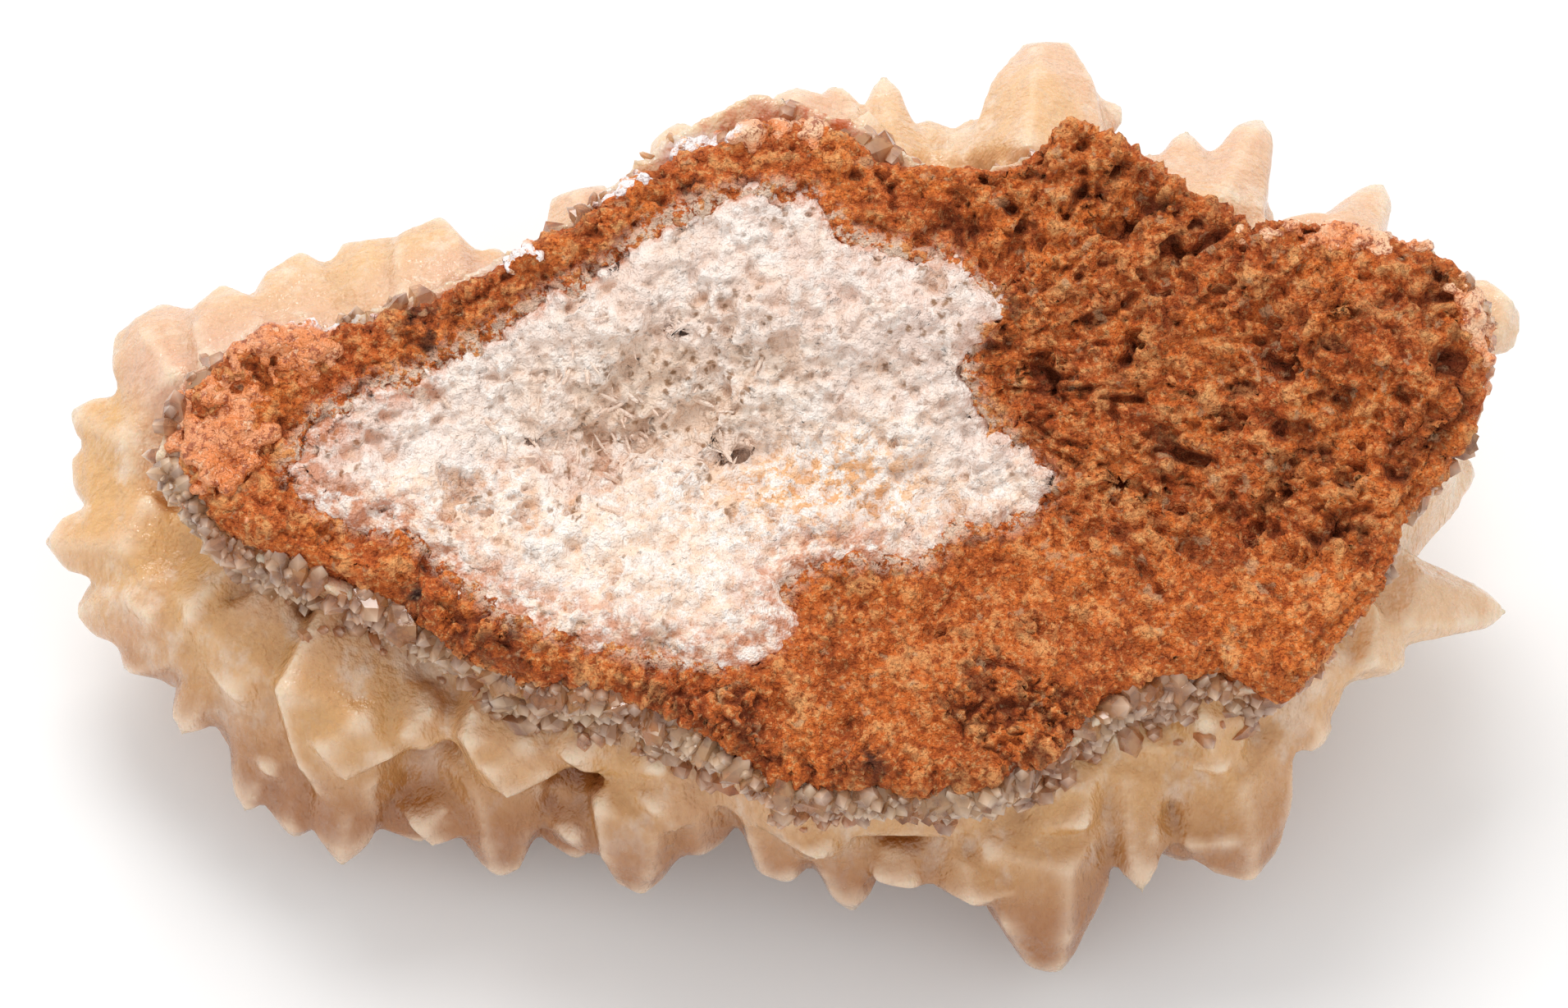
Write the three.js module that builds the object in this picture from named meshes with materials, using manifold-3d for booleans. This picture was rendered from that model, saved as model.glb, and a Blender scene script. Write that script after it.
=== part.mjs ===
// Dogtooth calcite on a rusty rock, lying on its crystals with the broken back of the rock facing up.
// Millimetres, +Z up, +Y away from the viewer. The origin is under the middle of the specimen, where it lies.
import * as THREE from "three";
import { mergeVertices } from "three/addons/utils/BufferGeometryUtils.js";
import Module from "manifold-3d";

const wasm = await Module();
wasm.setup();

// Driving dimensions
const BACK_HEIGHT = 30; // the broken back's mean height above the resting surface
const BACK_SLOPE = 0.21; // its rise for each mm away from the viewer
const OPEN_TOP = BACK_HEIGHT + 14; // a height clear of every crest of the back
const ROCK_THICKNESS = 9; // the rock under the middle of the back
const CORE_DEPTH = 6; // the white core's depth below the back
const CORE_RISE = 0.3; // how far the white core stands above the rock round it
const GROWTH_GAP = 0.3; // between one piece and the piece that it grew on
const CRUST_BOTTOM = 9.5; // height of the crust between the roots of its lowest teeth
const BOWL_RISE = 9; // how far the crust's underside rises to its edge
const BOWL_GIRTH = { least: 0.4, farSide: 1.6, leftEnd: 2.4, height: 15.5 }; // its bulge beyond the rock
const LIP_THICKNESS = 1.8; // of the crust's lip round the rock
const LIP_UNDERCUT = 4.4; // how far below the lip's top the crust draws in
const LIP_WAVES = { height: 0.4, count: 23 }; // along the lip's edge
const FANG_WIDTH = 8.5; // teeth at least this wide bulge between girdle and tip
const GIRDLE_ZIGZAG = 0.11; // how far the girdle steps up and down, as a share of its width
const FOOT_CUT = 1.1; // length broken off each tooth that the specimen stands on
const FOOT_ROOT_DEPTH = 5; // how deep those teeth are rooted in the crust
const FOOT_LEAN = [0.4, -0.3]; // how far their tips lean sideways

// How finely the surfaces are faceted
const ROCK_SEGMENTS = 46;
const CORE_SEGMENTS = 36;
const CRUST_SEGMENTS = 32;
const BACK_FACET = 3.15; // side of the broken back's facets
const FACET_SWAY = 0.55; // how far their corners stray sideways, as a share of the side
const BACK_ROUGHNESS = 0.7; // how far their corners stand in and out
const EDGE_ROUGHNESS = 0.8; // how far the rock's edge steps up and down

const GOLDEN_ANGLE = Math.PI * (3 - Math.sqrt(5));
const { lerp, clamp, degToRad, radToDeg } = THREE.MathUtils;
const vec = (x, y, z = 0) => new THREE.Vector3(x, y, z);
const countUp = (count) => [...Array(count).keys()];

// Outlines seen from above, anticlockwise from the right
const ROCK_CENTRE = [2, 4];
const ROCK_OUTLINE = [
  [42.6, 6.2], [42.9, 9.5], [43.0, 11.6], [41.5, 13.8], [39.0, 15.4], [36.0, 16.4], [33.4, 17.4],
  [29.9, 16.7], [26.4, 18.8], [22.4, 21.1], [18.2, 23.3], [16.2, 21.2], [9.3, 20.6], [5.3, 21.8],
  [1.8, 24.1], [-2.8, 23.3], [-8.3, 20.8], [-13.8, 17.0], [-19.8, 14.0], [-26.9, 11.5], [-32.4, 10.8],
  [-36.4, 6.7], [-35.9, 0.9], [-31.9, -1.4], [-27.9, -3.0], [-23.9, -4.2], [-20.9, -6.6], [-17.8, -8.9],
  [-12.8, -9.6], [-7.8, -11.4], [-2.8, -13.9], [0.3, -16.3], [5.3, -15.9], [10.3, -16.6], [13.3, -15.4],
  [16.8, -13.8], [18.3, -11.4], [21.9, -9.8], [26.4, -8.6], [30.9, -10.2], [32.9, -8.9], [34.2, -6.2],
  [36.4, -3.8], [37.9, -1.3], [37.9, 0.9], [40.2, 2.7], [40.7, 5.0],
];
const CORE_CENTRE = [-5, 4];
const CORE_OUTLINE = [
  [17.3, 2.6], [14.6, 5.0], [12.1, 7.5], [11.1, 9.7], [13.3, 13.0], [11.8, 15.0], [8.8, 16.5], [4.8, 16.5],
  [2.3, 19.5], [-2.8, 19.7], [-7.3, 18.3], [-10.8, 15.8], [-14.8, 13.5], [-19.3, 11.5], [-22.9, 9.2],
  [-26.9, 7.7], [-30.4, 5.2], [-31.2, 1.4], [-27.9, 0.4], [-24.4, -0.6], [-20.9, -3.3], [-17.8, -6.3],
  [-12.8, -7.8], [-7.8, -9.3], [-3.3, -9.3], [-0.5, -7.8], [-0.3, -3.8], [3.8, -2.3], [8.3, -2.8],
  [11.8, -0.1], [16.8, 1.0],
];
// The crust's lip round the rock: direction in degrees, width beyond the rock, and drop below the back
const CRUST_LIP = [
  [0, -0.3, 2.6], [8, 1.2, 1.8], [14, 2.0, 1.4], [22, 1.4, 1.6], [32, -0.6, 3.2], [52, -0.6, 3.4],
  [66, 0.8, 2.0], [82, 2.2, 2.6], [98, 3.6, 3.0], [114, 2.6, 2.4], [134, 1.6, 1.6], [152, 2.6, 2.4],
  [172, 2.8, 2.4], [192, 1.8, 2.0], [220, 1.2, 1.8], [250, 1.3, 1.6], [278, 1.5, 1.6], [306, 1.0, 1.8],
  [330, 0.8, 1.8], [346, -0.4, 2.4], [360, -0.3, 2.6],
];

// The broken back's relief: a crease from left to right, hills and a hollow, and lumps all over
const CREASE = { from: [-8, 5], to: [38, -1.5], depth: 4.6, reach: 8, rounding: 1.5, halfLength: 43, fade: 20 };
const HILLS = [
  { at: [18, 23], reach: [4, 4], height: 2.6 }, // the crest at the far edge
  { at: [38, 13], reach: [8, 7], height: 1.6 }, // the raised right end
  { at: [-9, 6], reach: [6, 3.5], height: -1.5 }, // the hollow in the white core
];
const LUMP_HEIGHT = 0.5;

// Teeth that show round the rim: tip, root, width at the girdle, how blunt the end is, and turn about the axis
const RIM_TEETH = [
  // along the near side, from left to right
  { tip: [-38.5, -7.3, 10], root: [-33.0, -1.5, 19], wide: 6, blunt: 0.5, turn: 10 },
  { tip: [-34.5, -11.2, 6], root: [-30.6, -3.0, 18], wide: 7, blunt: 0.4, turn: 35 },
  { tip: [-31.4, -12.2, 4], root: [-29.2, -4.0, 17], wide: 7, blunt: 0.6, turn: 15 },
  { tip: [-28.4, -14.0, 4], root: [-26.0, -5.0, 18], wide: 7.5, blunt: 0.5, turn: 5 },
  { tip: [-24.0, -11.7, 3], root: [-23.3, -4.5, 16], wide: 8.4, blunt: 0.8, turn: 0 },
  { tip: [-18.0, -14.1, 3], root: [-18.3, -6.5, 17], wide: 8.5, blunt: 0.4, turn: 50 },
  { tip: [-13.4, -12.8, 3], root: [-13.0, -7.0, 15], wide: 8, blunt: 0.6, turn: 20 },
  { tip: [-9.4, -15.7, 5], root: [-8.6, -10.0, 17], wide: 8.5, blunt: 0.45, turn: 0 },
  { tip: [-5.4, -13.9, 7], root: [-5.8, -10.3, 18], wide: 7.5, blunt: 0.6, turn: 40 },
  { tip: [-0.1, -15.9, 7], root: [-0.3, -11.0, 18], wide: 7.5, blunt: 0.6, turn: 15 },
  { tip: [4.4, -17.5, 5], root: [3.0, -11.0, 18], wide: 7.5, blunt: 0.34, turn: 30 },
  { tip: [10.9, -16.3, 5], root: [11.3, -11.0, 16], wide: 8, blunt: 0.5, turn: 10 },
  { tip: [16.9, -20.2, 2], root: [15.2, -11.0, 18], wide: 11, blunt: 0.36, turn: 25 },
  { tip: [22.6, -17.8, 9], root: [21.2, -8.5, 19], wide: 6, blunt: 0.4, turn: 0 },
  { tip: [25.4, -14.9, 7], root: [23.8, -7.0, 18], wide: 7.5, blunt: 0.7, turn: 15 },
  { tip: [29.2, -15.6, 7], root: [26.5, -7.0, 18], wide: 9.5, blunt: 0.65, turn: 45 },
  { tip: [33.7, -9.9, 14], root: [30.6, -5.5, 20], wide: 5.5, blunt: 0.5, turn: 5 },
  { tip: [39.2, -5.0, 16], root: [33.5, -3.8, 20], wide: 7, blunt: 0.2, turn: 30 },
  // round the right end
  { tip: [46.0, -0.5, 14], root: [34.5, -1.6, 20], wide: 7, blunt: 0.3, turn: 0 },
  { tip: [44.2, 8.9, 15], root: [37.0, 5.6, 20], wide: 5.5, blunt: 0.5, turn: 20 },
  { tip: [46.4, 14.9, 26], root: [37.5, 13.2, 25.5], wide: 6.5, blunt: 1, turn: 0 },
  // along the far side, from right to left
  { tip: [38.8, 27.6, 19], root: [33.2, 16.5, 24], wide: 7, blunt: 0.3, turn: 40 },
  { tip: [30.9, 32.4, 19], root: [26.2, 18.3, 24], wide: 7, blunt: 0.45, turn: 10 },
  { tip: [26.0, 31.0, 20], root: [24.6, 18.3, 24], wide: 7.5, blunt: 0.26, turn: 50 },
  { tip: [17.2, 36.8, 21], root: [15.9, 20.2, 24], wide: 11.5, blunt: 0.4, turn: 15 },
  { tip: [19.3, 35.0, 20], root: [16.6, 20.1, 23], wide: 7.5, blunt: 0.55, turn: 0 },
  { tip: [12.0, 31.2, 21], root: [12.4, 19.1, 22], wide: 7, blunt: 0.7, turn: 0 },
  { tip: [9.3, 31.3, 21], root: [9.4, 19.1, 22], wide: 7, blunt: 0.7, turn: 30 },
  { tip: [6.4, 34.1, 22], root: [7.0, 22.0, 24], wide: 6.5, blunt: 0.24, turn: 35 },
  { tip: [3.2, 32.7, 23], root: [3.9, 22.5, 24], wide: 7, blunt: 0.36, turn: 5 },
  { tip: [0.9, 32.1, 24], root: [1.0, 21.9, 24], wide: 7, blunt: 0.7, turn: 25 },
  { tip: [-7.0, 30.4, 22], root: [-5.6, 20.7, 23], wide: 6.5, blunt: 0.7, turn: 0 },
  { tip: [-13.0, 25.6, 22], root: [-11.6, 16.6, 24], wide: 8, blunt: 0.7, turn: 30 },
  { tip: [-19.0, 21.6, 21], root: [-18.3, 13.6, 23], wide: 7, blunt: 0.7, turn: 0 },
  { tip: [-23.0, 23.0, 21], root: [-21.3, 12.6, 23], wide: 9.5, blunt: 0.75, turn: 10 },
  { tip: [-26.6, 22.7, 20], root: [-25.0, 12.0, 22], wide: 8.5, blunt: 0.75, turn: 40 },
  { tip: [-31.5, 21.0, 20], root: [-29.0, 10.8, 22], wide: 9.5, blunt: 0.7, turn: 5 },
  // round the left end
  { tip: [-36.4, 18.3, 21], root: [-32.5, 9.1, 23], wide: 9.5, blunt: 0.5, turn: 20 },
  { tip: [-41.2, 18.0, 18], root: [-35.2, 8.3, 21], wide: 10, blunt: 0.65, turn: 50 },
  { tip: [-45.9, 12.8, 16], root: [-36.3, 7.2, 20], wide: 8, blunt: 0.3, turn: 0 },
  { tip: [-45.4, 9.8, 14], root: [-36.0, 4.5, 18], wide: 8.5, blunt: 0.5, turn: 30 },
  { tip: [-47.4, 4.9, 13], root: [-36.0, 2.2, 19], wide: 7, blunt: 0.6, turn: 15 },
  { tip: [-44.8, 1.0, 10], root: [-35.2, 0.4, 18], wide: 8.5, blunt: 0.5, turn: 40 },
  { tip: [-42.4, -2.2, 10], root: [-34.1, -1.5, 18], wide: 7.5, blunt: 0.5, turn: 5 },
];
// Teeth seen face-on, hanging from the near side of the crust's lip, from left to right
const WALL_TEETH = [
  { tip: [-39.4, -3.6, 9], root: [-33.5, 0.6, 22], wide: 8, blunt: 0.4, turn: 20 },
  { tip: [-34.2, -7.6, 8], root: [-31.4, -1.5, 22], wide: 9, blunt: 0.5, turn: 0 },
  { tip: [-26.9, -10.8, 8], root: [-28.4, -3.2, 23], wide: 10.5, blunt: 0.75, turn: 30 },
  { tip: [-16.4, -11.0, 9], root: [-18.2, -6.6, 22], wide: 9, blunt: 0.55, turn: 40 },
  { tip: [-7.0, -12.6, 9], root: [-9.0, -8.6, 21], wide: 8, blunt: 0.5, turn: 10 },
  { tip: [2.3, -15.4, 10], root: [1.4, -12.0, 21], wide: 8, blunt: 0.5, turn: 25 },
  { tip: [17.9, -13.9, 11], root: [16.6, -9.9, 21], wide: 8.5, blunt: 0.75, turn: 35 },
  { tip: [22.5, -12.2, 11], root: [22.1, -7.6, 22], wide: 7.5, blunt: 0.75, turn: 10 },
  { tip: [28.0, -13.0, 13], root: [25.4, -7.2, 24], wide: 6.5, blunt: 0.4, turn: 20 },
  { tip: [34.2, -7.8, 15], root: [31.2, -5.0, 22], wide: 6.5, blunt: 0.4, turn: 50 },
];

// Teeth that hang below the bare right end
const END_TEETH = [
  { tip: [36.5, 0.5, 5], root: [33.0, 0.5, 17], wide: 8.4, blunt: 0.4, turn: 10 },
  { tip: [39.0, 6.5, 6], root: [35.0, 6.0, 18], wide: 8.4, blunt: 0.3, turn: 40 },
  { tip: [39.5, 13.0, 8], root: [35.5, 11.5, 19], wide: 8, blunt: 0.45, turn: 0 },
];

// Teeth that cover the far side and the left end below the rim
const SKIRT_TEETH = 9;
const SKIRT_FROM_TO = [24, 200]; // directions in degrees
const SKIRT_WIDE = [7, 10];
const SKIRT_ROOT = { inward: 5, height: 17 }; // from the rock's edge, and above the ground
const SKIRT_TIP = { outward: [1, 4], height: [5, 9] };
// Teeth that cover the underside, leaning outward towards the rim
const UNDER_TEETH = 15;
const UNDER_REACH = 0.76; // share of the outline that their roots fill
const UNDER_WIDE = [8, 10.5];
const UNDER_TIP_HEIGHT = [0.9, 3.6];
const UNDER_SPLAY = 0.5; // how far the outermost lean, as a share of their length
const UNDER_SWAY = 1.5; // how far the tips stray
const ROOT_DEPTH = 3; // how deep a tooth is rooted in the crust
// The teeth that reach the surface and carry the specimen: where they stand, and how wide they are
const FOOT_TEETH = [
  { at: [-25, -2], wide: 9 },
  { at: [-19, 11], wide: 9 },
  { at: [2, -3], wide: 10 },
  { at: [24, -4], wide: 9 },
  { at: [26, 11], wide: 9 },
];

// Pits in the broken back: how many, the middle and reach of the area they are in, and their radii
const ROCK_PITS = { count: 15, middle: [16, 3], reach: [26, 17], radius: [0.7, 1.5] };
const CORE_PITS = { count: 6, middle: [-8, 5], reach: [15, 9], radius: [0.8, 1.7] };

// A number from 0 to 1 that is always the same for the same seed.
function chance(seed) {
  const wave = Math.sin(seed * 12.9898 + 4.1414) * 43758.5453;
  return wave - Math.floor(wave);
}

const backPlane = (y) => BACK_HEIGHT + BACK_SLOPE * y;

// Height of the broken back: a sloping plane with a crease, hills and lumps.
function backHeight(x, y) {
  const along = clamp((x - CREASE.from[0]) / (CREASE.to[0] - CREASE.from[0]), 0, 1);
  const fromCrease = Math.hypot(y - lerp(CREASE.from[1], CREASE.to[1], along), CREASE.rounding);
  const endFade = clamp((CREASE.halfLength - Math.abs(x - ROCK_CENTRE[0])) / CREASE.fade, 0, 1);
  const crease = -CREASE.depth * Math.exp(-fromCrease / CREASE.reach) * endFade;
  const hillAt = ({ at: [cx, cy], reach: [rx, ry], height }) =>
    height * Math.exp(-(((x - cx) / rx) ** 2) - ((y - cy) / ry) ** 2);
  const hills = HILLS.reduce((sum, hill) => sum + hillAt(hill), 0);
  const lumps = Math.sin(0.55 * x + 1.3) * Math.cos(0.63 * y) + 0.8 * Math.sin(1.3 * x - 0.9 * y);
  return backPlane(y) + crease + hills + LUMP_HEIGHT * lumps;
}

// A closed surface through rings of equal point count, each end closed by a fan to its own point.
function ringedGeometry(start, rings, end) {
  const count = rings[0].length;
  const points = [start, ...rings.flat(), end];
  const at = (ring, k) => 1 + ring * count + (k % count);
  const last = rings.length - 1;
  const faces = [];
  for (let k = 0; k < count; k++) {
    faces.push(0, at(0, k + 1), at(0, k));
    for (let r = 0; r < last; r++) {
      faces.push(at(r, k), at(r, k + 1), at(r + 1, k + 1));
      faces.push(at(r, k), at(r + 1, k + 1), at(r + 1, k));
    }
    faces.push(points.length - 1, at(last, k), at(last, k + 1));
  }
  const geometry = new THREE.BufferGeometry().setFromPoints(points);
  geometry.setIndex(faces);
  return geometry;
}

function solidOf(geometry) {
  const bare = geometry.clone();
  bare.deleteAttribute("normal");
  bare.deleteAttribute("uv");
  const merged = mergeVertices(bare, 1e-4);
  const vertProperties = new Float32Array(merged.attributes.position.array);
  const triVerts = new Uint32Array(merged.index.array);
  return new wasm.Manifold(new wasm.Mesh({ numProp: 3, vertProperties, triVerts }));
}

function geometryOf(solid) {
  const mesh = solid.getMesh();
  const geometry = new THREE.BufferGeometry();
  geometry.setAttribute("position", new THREE.BufferAttribute(new Float32Array(mesh.vertProperties), 3));
  geometry.setIndex(new THREE.BufferAttribute(new Uint32Array(mesh.triVerts), 1));
  geometry.computeVertexNormals();
  return geometry;
}

// The largest connected shell of a mesh, so that gaps and pits sealed inside it are filled.
function outerShell(geometry) {
  const index = geometry.index.array;
  const parent = countUp(geometry.attributes.position.count);
  const shellOf = (corner) => {
    while (parent[corner] !== corner) corner = parent[corner];
    return corner;
  };
  for (let i = 0; i < index.length; i++) {
    const first = shellOf(index[i - (i % 3)]);
    parent[shellOf(index[i])] = first;
  }
  const shells = new Map();
  for (let i = 0; i < index.length; i += 3) {
    const shell = shellOf(index[i]);
    shells.set(shell, [...(shells.get(shell) ?? []), index[i], index[i + 1], index[i + 2]]);
  }
  const [largest] = [...shells.values()].sort((a, b) => b.length - a.length);
  geometry.setIndex(largest);
  return geometry;
}

// A smooth closed outline: its distance from a centre by direction, and directions spread evenly along it.
class Outline {
  constructor(points, centre) {
    this.centre = centre;
    const [cx, cy] = centre;
    this.curve = new THREE.CatmullRomCurve3(points.map(([x, y]) => vec(x - cx, y - cy)), true, "centripetal");
    this.samples = this.curve.getPoints(points.length * 12).slice(0, -1);
  }

  radius(angle) {
    const ray = vec(Math.cos(angle), Math.sin(angle));
    const side = (p) => ray.x * p.y - ray.y * p.x;
    const hits = this.samples.map((a, i) => {
      const b = this.samples[(i + 1) % this.samples.length];
      const crosses = side(a) <= 0 && side(b) > 0;
      return crosses ? a.clone().lerp(b, side(a) / (side(a) - side(b))).dot(ray) : 0;
    });
    return Math.max(...hits);
  }

  directions(count) {
    return this.curve.getSpacedPoints(count).slice(0, -1).map((p) => Math.atan2(p.y, p.x));
  }

  // A ring of points: a share of the outline plus an overhang, at heights given by a function.
  ring(directions, share, overhang, height) {
    const [cx, cy] = this.centre;
    return directions.map((angle, k) => {
      const reach = this.radius(angle) * share + (typeof overhang === "function" ? overhang(angle) : overhang);
      const x = cx + Math.cos(angle) * reach;
      const y = cy + Math.sin(angle) * reach;
      return vec(x, y, height(x, y, k, angle));
    });
  }

  holds(x, y, margin) {
    const [cx, cy] = this.centre;
    return Math.hypot(x - cx, y - cy) < this.radius(Math.atan2(y - cy, x - cx)) - margin;
  }
}

const rockOutline = new Outline(ROCK_OUTLINE, ROCK_CENTRE);
const coreOutline = new Outline(CORE_OUTLINE, CORE_CENTRE);

// Everything below a height that changes from place to place, faceted at random.
function everythingBelow(heightAt) {
  const size = [100, 60]; // wider than the whole rock
  const cells = size.map((length) => Math.round(length / BACK_FACET));
  const block = new THREE.BoxGeometry(...size, 2 * OPEN_TOP, ...cells, 1).translate(...ROCK_CENTRE, 0);
  const points = block.attributes.position;
  for (let i = 0; i < points.count; i++) {
    if (points.getZ(i) < 0) continue;
    const seed = Math.round(points.getX(i) * 7 + points.getY(i) * 131);
    const x = points.getX(i) + BACK_FACET * FACET_SWAY * (chance(seed) - 0.5);
    const y = points.getY(i) + BACK_FACET * FACET_SWAY * (chance(seed + 0.3) - 0.5);
    points.setXYZ(i, x, y, heightAt(x, y) + BACK_ROUGHNESS * (chance(seed + 0.6) - 0.5));
  }
  return solidOf(block);
}

// The rock's sides and bottom, open to above the back; a clearance makes the space that it fills in the crust.
function rockStock(clearance) {
  const directions = rockOutline.directions(ROCK_SEGMENTS);
  const around = (share, height) => rockOutline.ring(directions, share, clearance, height);
  const ragged = (k) => EDGE_ROUGHNESS * (chance(k) - 0.5);
  const [cx, cy] = ROCK_CENTRE;
  const rings = [
    around(0.5, (x, y) => backPlane(y) - ROCK_THICKNESS - clearance),
    around(0.88, (x, y) => backPlane(y) - 0.8 * ROCK_THICKNESS - clearance),
    around(0.98, (x, y, k) => backPlane(y) - 4.2 + ragged(k)),
    around(1, (x, y, k) => backHeight(x, y) - 0.9 + ragged(k + 0.5)),
    around(0.985, (x, y) => backHeight(x, y) + 0.3),
    around(0.985, () => OPEN_TOP),
  ];
  const bottom = vec(cx, cy, backPlane(cy) - ROCK_THICKNESS - clearance);
  return solidOf(ringedGeometry(bottom, rings, vec(cx, cy, OPEN_TOP)));
}

// The white core's sides and bottom, open to above the back; a clearance makes its pocket in the rock.
function coreStock(clearance) {
  const directions = coreOutline.directions(CORE_SEGMENTS);
  const around = (share, height) => coreOutline.ring(directions, share, clearance, height);
  const floor = (x, y) => backPlane(y) - CORE_DEPTH - clearance;
  const [cx, cy] = CORE_CENTRE;
  const rings = [
    around(0.6, floor),
    around(0.93, (x, y) => floor(x, y) + 0.5),
    around(1, () => OPEN_TOP),
  ];
  return solidOf(ringedGeometry(vec(cx, cy, floor(cx, cy)), rings, vec(cx, cy, OPEN_TOP)));
}

// Small angular pits set out on a sunflower spiral, where a test allows them.
function pitSolids({ count, middle, reach, radius }, allowed) {
  const places = countUp(count).map((k) => {
    const share = Math.sqrt((k + 0.5) / count);
    const angle = k * GOLDEN_ANGLE + 0.6 * chance(k);
    const x = middle[0] + reach[0] * share * Math.cos(angle);
    const y = middle[1] + reach[1] * share * Math.sin(angle);
    return { x, y, k, size: lerp(...radius, chance(k + 700) ** 2) };
  });
  return places.filter(({ x, y, size }) => allowed(x, y, size + 1)).map(({ x, y, k, size }) => {
    const pit = new THREE.IcosahedronGeometry(size, 0);
    pit.rotateX(3 * chance(k)).rotateZ(6 * chance(k + 50));
    pit.scale(1.25, 0.95, 0.9);
    pit.translate(x, y, backHeight(x, y));
    return solidOf(pit);
  });
}

// One dogtooth: a scalenohedron, six-sided, its edges sharp and blunt in turn, ended by three rhomb faces.
// Each ring narrows the one before it towards a point on the axis, so that every side face is flat.
function toothSolid({ tip, root, wide, blunt, turn, plain = wide < FANG_WIDTH }) {
  const axis = vec(...tip).sub(vec(...root));
  const length = axis.length();
  // share of the length, and share of the half width
  const girdle = [0.3, 1];
  const bulge = [0.68, lerp(0.62, 0.95, blunt)];
  const shoulder = plain ? [0.84, lerp(0.26, 0.78, blunt)] : [0.92, lerp(0.16, 0.7, blunt)];
  const profile = plain ? [girdle, shoulder] : [girdle, bulge, shoulder];
  const rings = [
    countUp(6).map((k) => {
      const sharp = k % 2 === 0;
      const reach = 0.5 * wide * (sharp ? 1.06 : 0.88);
      const rise = girdle[0] * length + GIRDLE_ZIGZAG * wide * (sharp ? -1 : 1);
      return vec(reach * Math.cos((k * Math.PI) / 3), reach * Math.sin((k * Math.PI) / 3), rise);
    }),
  ];
  profile.slice(1).forEach(([along, out], i) => {
    const [lastAlong, lastOut] = profile[i];
    const narrowing = 1 - out / lastOut;
    const point = vec(0, 0, length * (lastAlong + (along - lastAlong) / narrowing));
    rings.push(rings[i].map((corner) => corner.clone().lerp(point, narrowing)));
  });
  const geometry = ringedGeometry(vec(0, 0, 0), rings, vec(0, 0, length));
  geometry.rotateZ(degToRad(turn));
  geometry.applyQuaternion(new THREE.Quaternion().setFromUnitVectors(vec(0, 0, 1), axis.normalize()));
  geometry.translate(...root);
  return solidOf(geometry);
}

// The crust's underside between its teeth: a shallow bowl.
const undersideHeight = (share) => CRUST_BOTTOM + BOWL_RISE * (1 - Math.sqrt(1 - share ** 2));

function skirtTeeth() {
  const [cx, cy] = ROCK_CENTRE;
  return countUp(SKIRT_TEETH).map((k) => {
    const angle = degToRad(lerp(...SKIRT_FROM_TO, (k + 0.5 * chance(k)) / (SKIRT_TEETH - 0.5)));
    const out = vec(Math.cos(angle), Math.sin(angle));
    const edge = rockOutline.radius(angle);
    const rootReach = edge - SKIRT_ROOT.inward;
    const tipReach = edge + lerp(...SKIRT_TIP.outward, clamp(out.y - out.x, 0, 1));
    return {
      root: [cx + out.x * rootReach, cy + out.y * rootReach, SKIRT_ROOT.height],
      tip: [cx + out.x * tipReach, cy + out.y * tipReach, lerp(...SKIRT_TIP.height, chance(k + 11))],
      wide: lerp(...SKIRT_WIDE, chance(k + 21)),
      blunt: lerp(0.2, 0.5, chance(k + 31)),
      turn: 60 * chance(k + 41),
      plain: true,
    };
  });
}

function underTeeth() {
  const [cx, cy] = ROCK_CENTRE;
  return countUp(UNDER_TEETH).map((k) => {
    const share = UNDER_REACH * Math.sqrt((k + 0.6) / UNDER_TEETH);
    const angle = k * GOLDEN_ANGLE + 0.3;
    const out = vec(Math.cos(angle), Math.sin(angle));
    const reach = rockOutline.radius(angle) * share;
    const rootHeight = undersideHeight(share) + ROOT_DEPTH;
    const tipHeight = lerp(...UNDER_TIP_HEIGHT, share * 0.7 + 0.3 * chance(k));
    const tipReach = reach + UNDER_SPLAY * share ** 2 * (rootHeight - tipHeight);
    const sway = [UNDER_SWAY * (chance(k + 100) - 0.5), UNDER_SWAY * (chance(k + 200) - 0.5)];
    return {
      root: [cx + out.x * reach, cy + out.y * reach, rootHeight],
      tip: [cx + out.x * tipReach + sway[0], cy + out.y * tipReach + sway[1], tipHeight],
      wide: lerp(...UNDER_WIDE, chance(k + 300)),
      blunt: lerp(0.15, 0.45, chance(k + 400)),
      turn: 60 * chance(k + 500),
      plain: true,
    };
  });
}

const footTeeth = () =>
  FOOT_TEETH.map(({ at: [x, y], wide }, k) => ({
    root: [x, y, CRUST_BOTTOM + FOOT_ROOT_DEPTH],
    tip: [x + FOOT_LEAN[0], y + FOOT_LEAN[1], -FOOT_CUT],
    wide,
    blunt: 0.3,
    turn: 25 * k,
  }));

// The lip's width and drop in a direction, read off its table.
function lipAt(angle) {
  const degrees = (radToDeg(angle) + 360) % 360;
  const next = CRUST_LIP.findIndex(([direction]) => direction > degrees);
  const [fromDegrees, fromWidth, fromDrop] = CRUST_LIP[next - 1];
  const [toDegrees, toWidth, toDrop] = CRUST_LIP[next];
  const share = (degrees - fromDegrees) / (toDegrees - fromDegrees);
  return { width: lerp(fromWidth, toWidth, share), drop: lerp(fromDrop, toDrop, share) };
}

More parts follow.
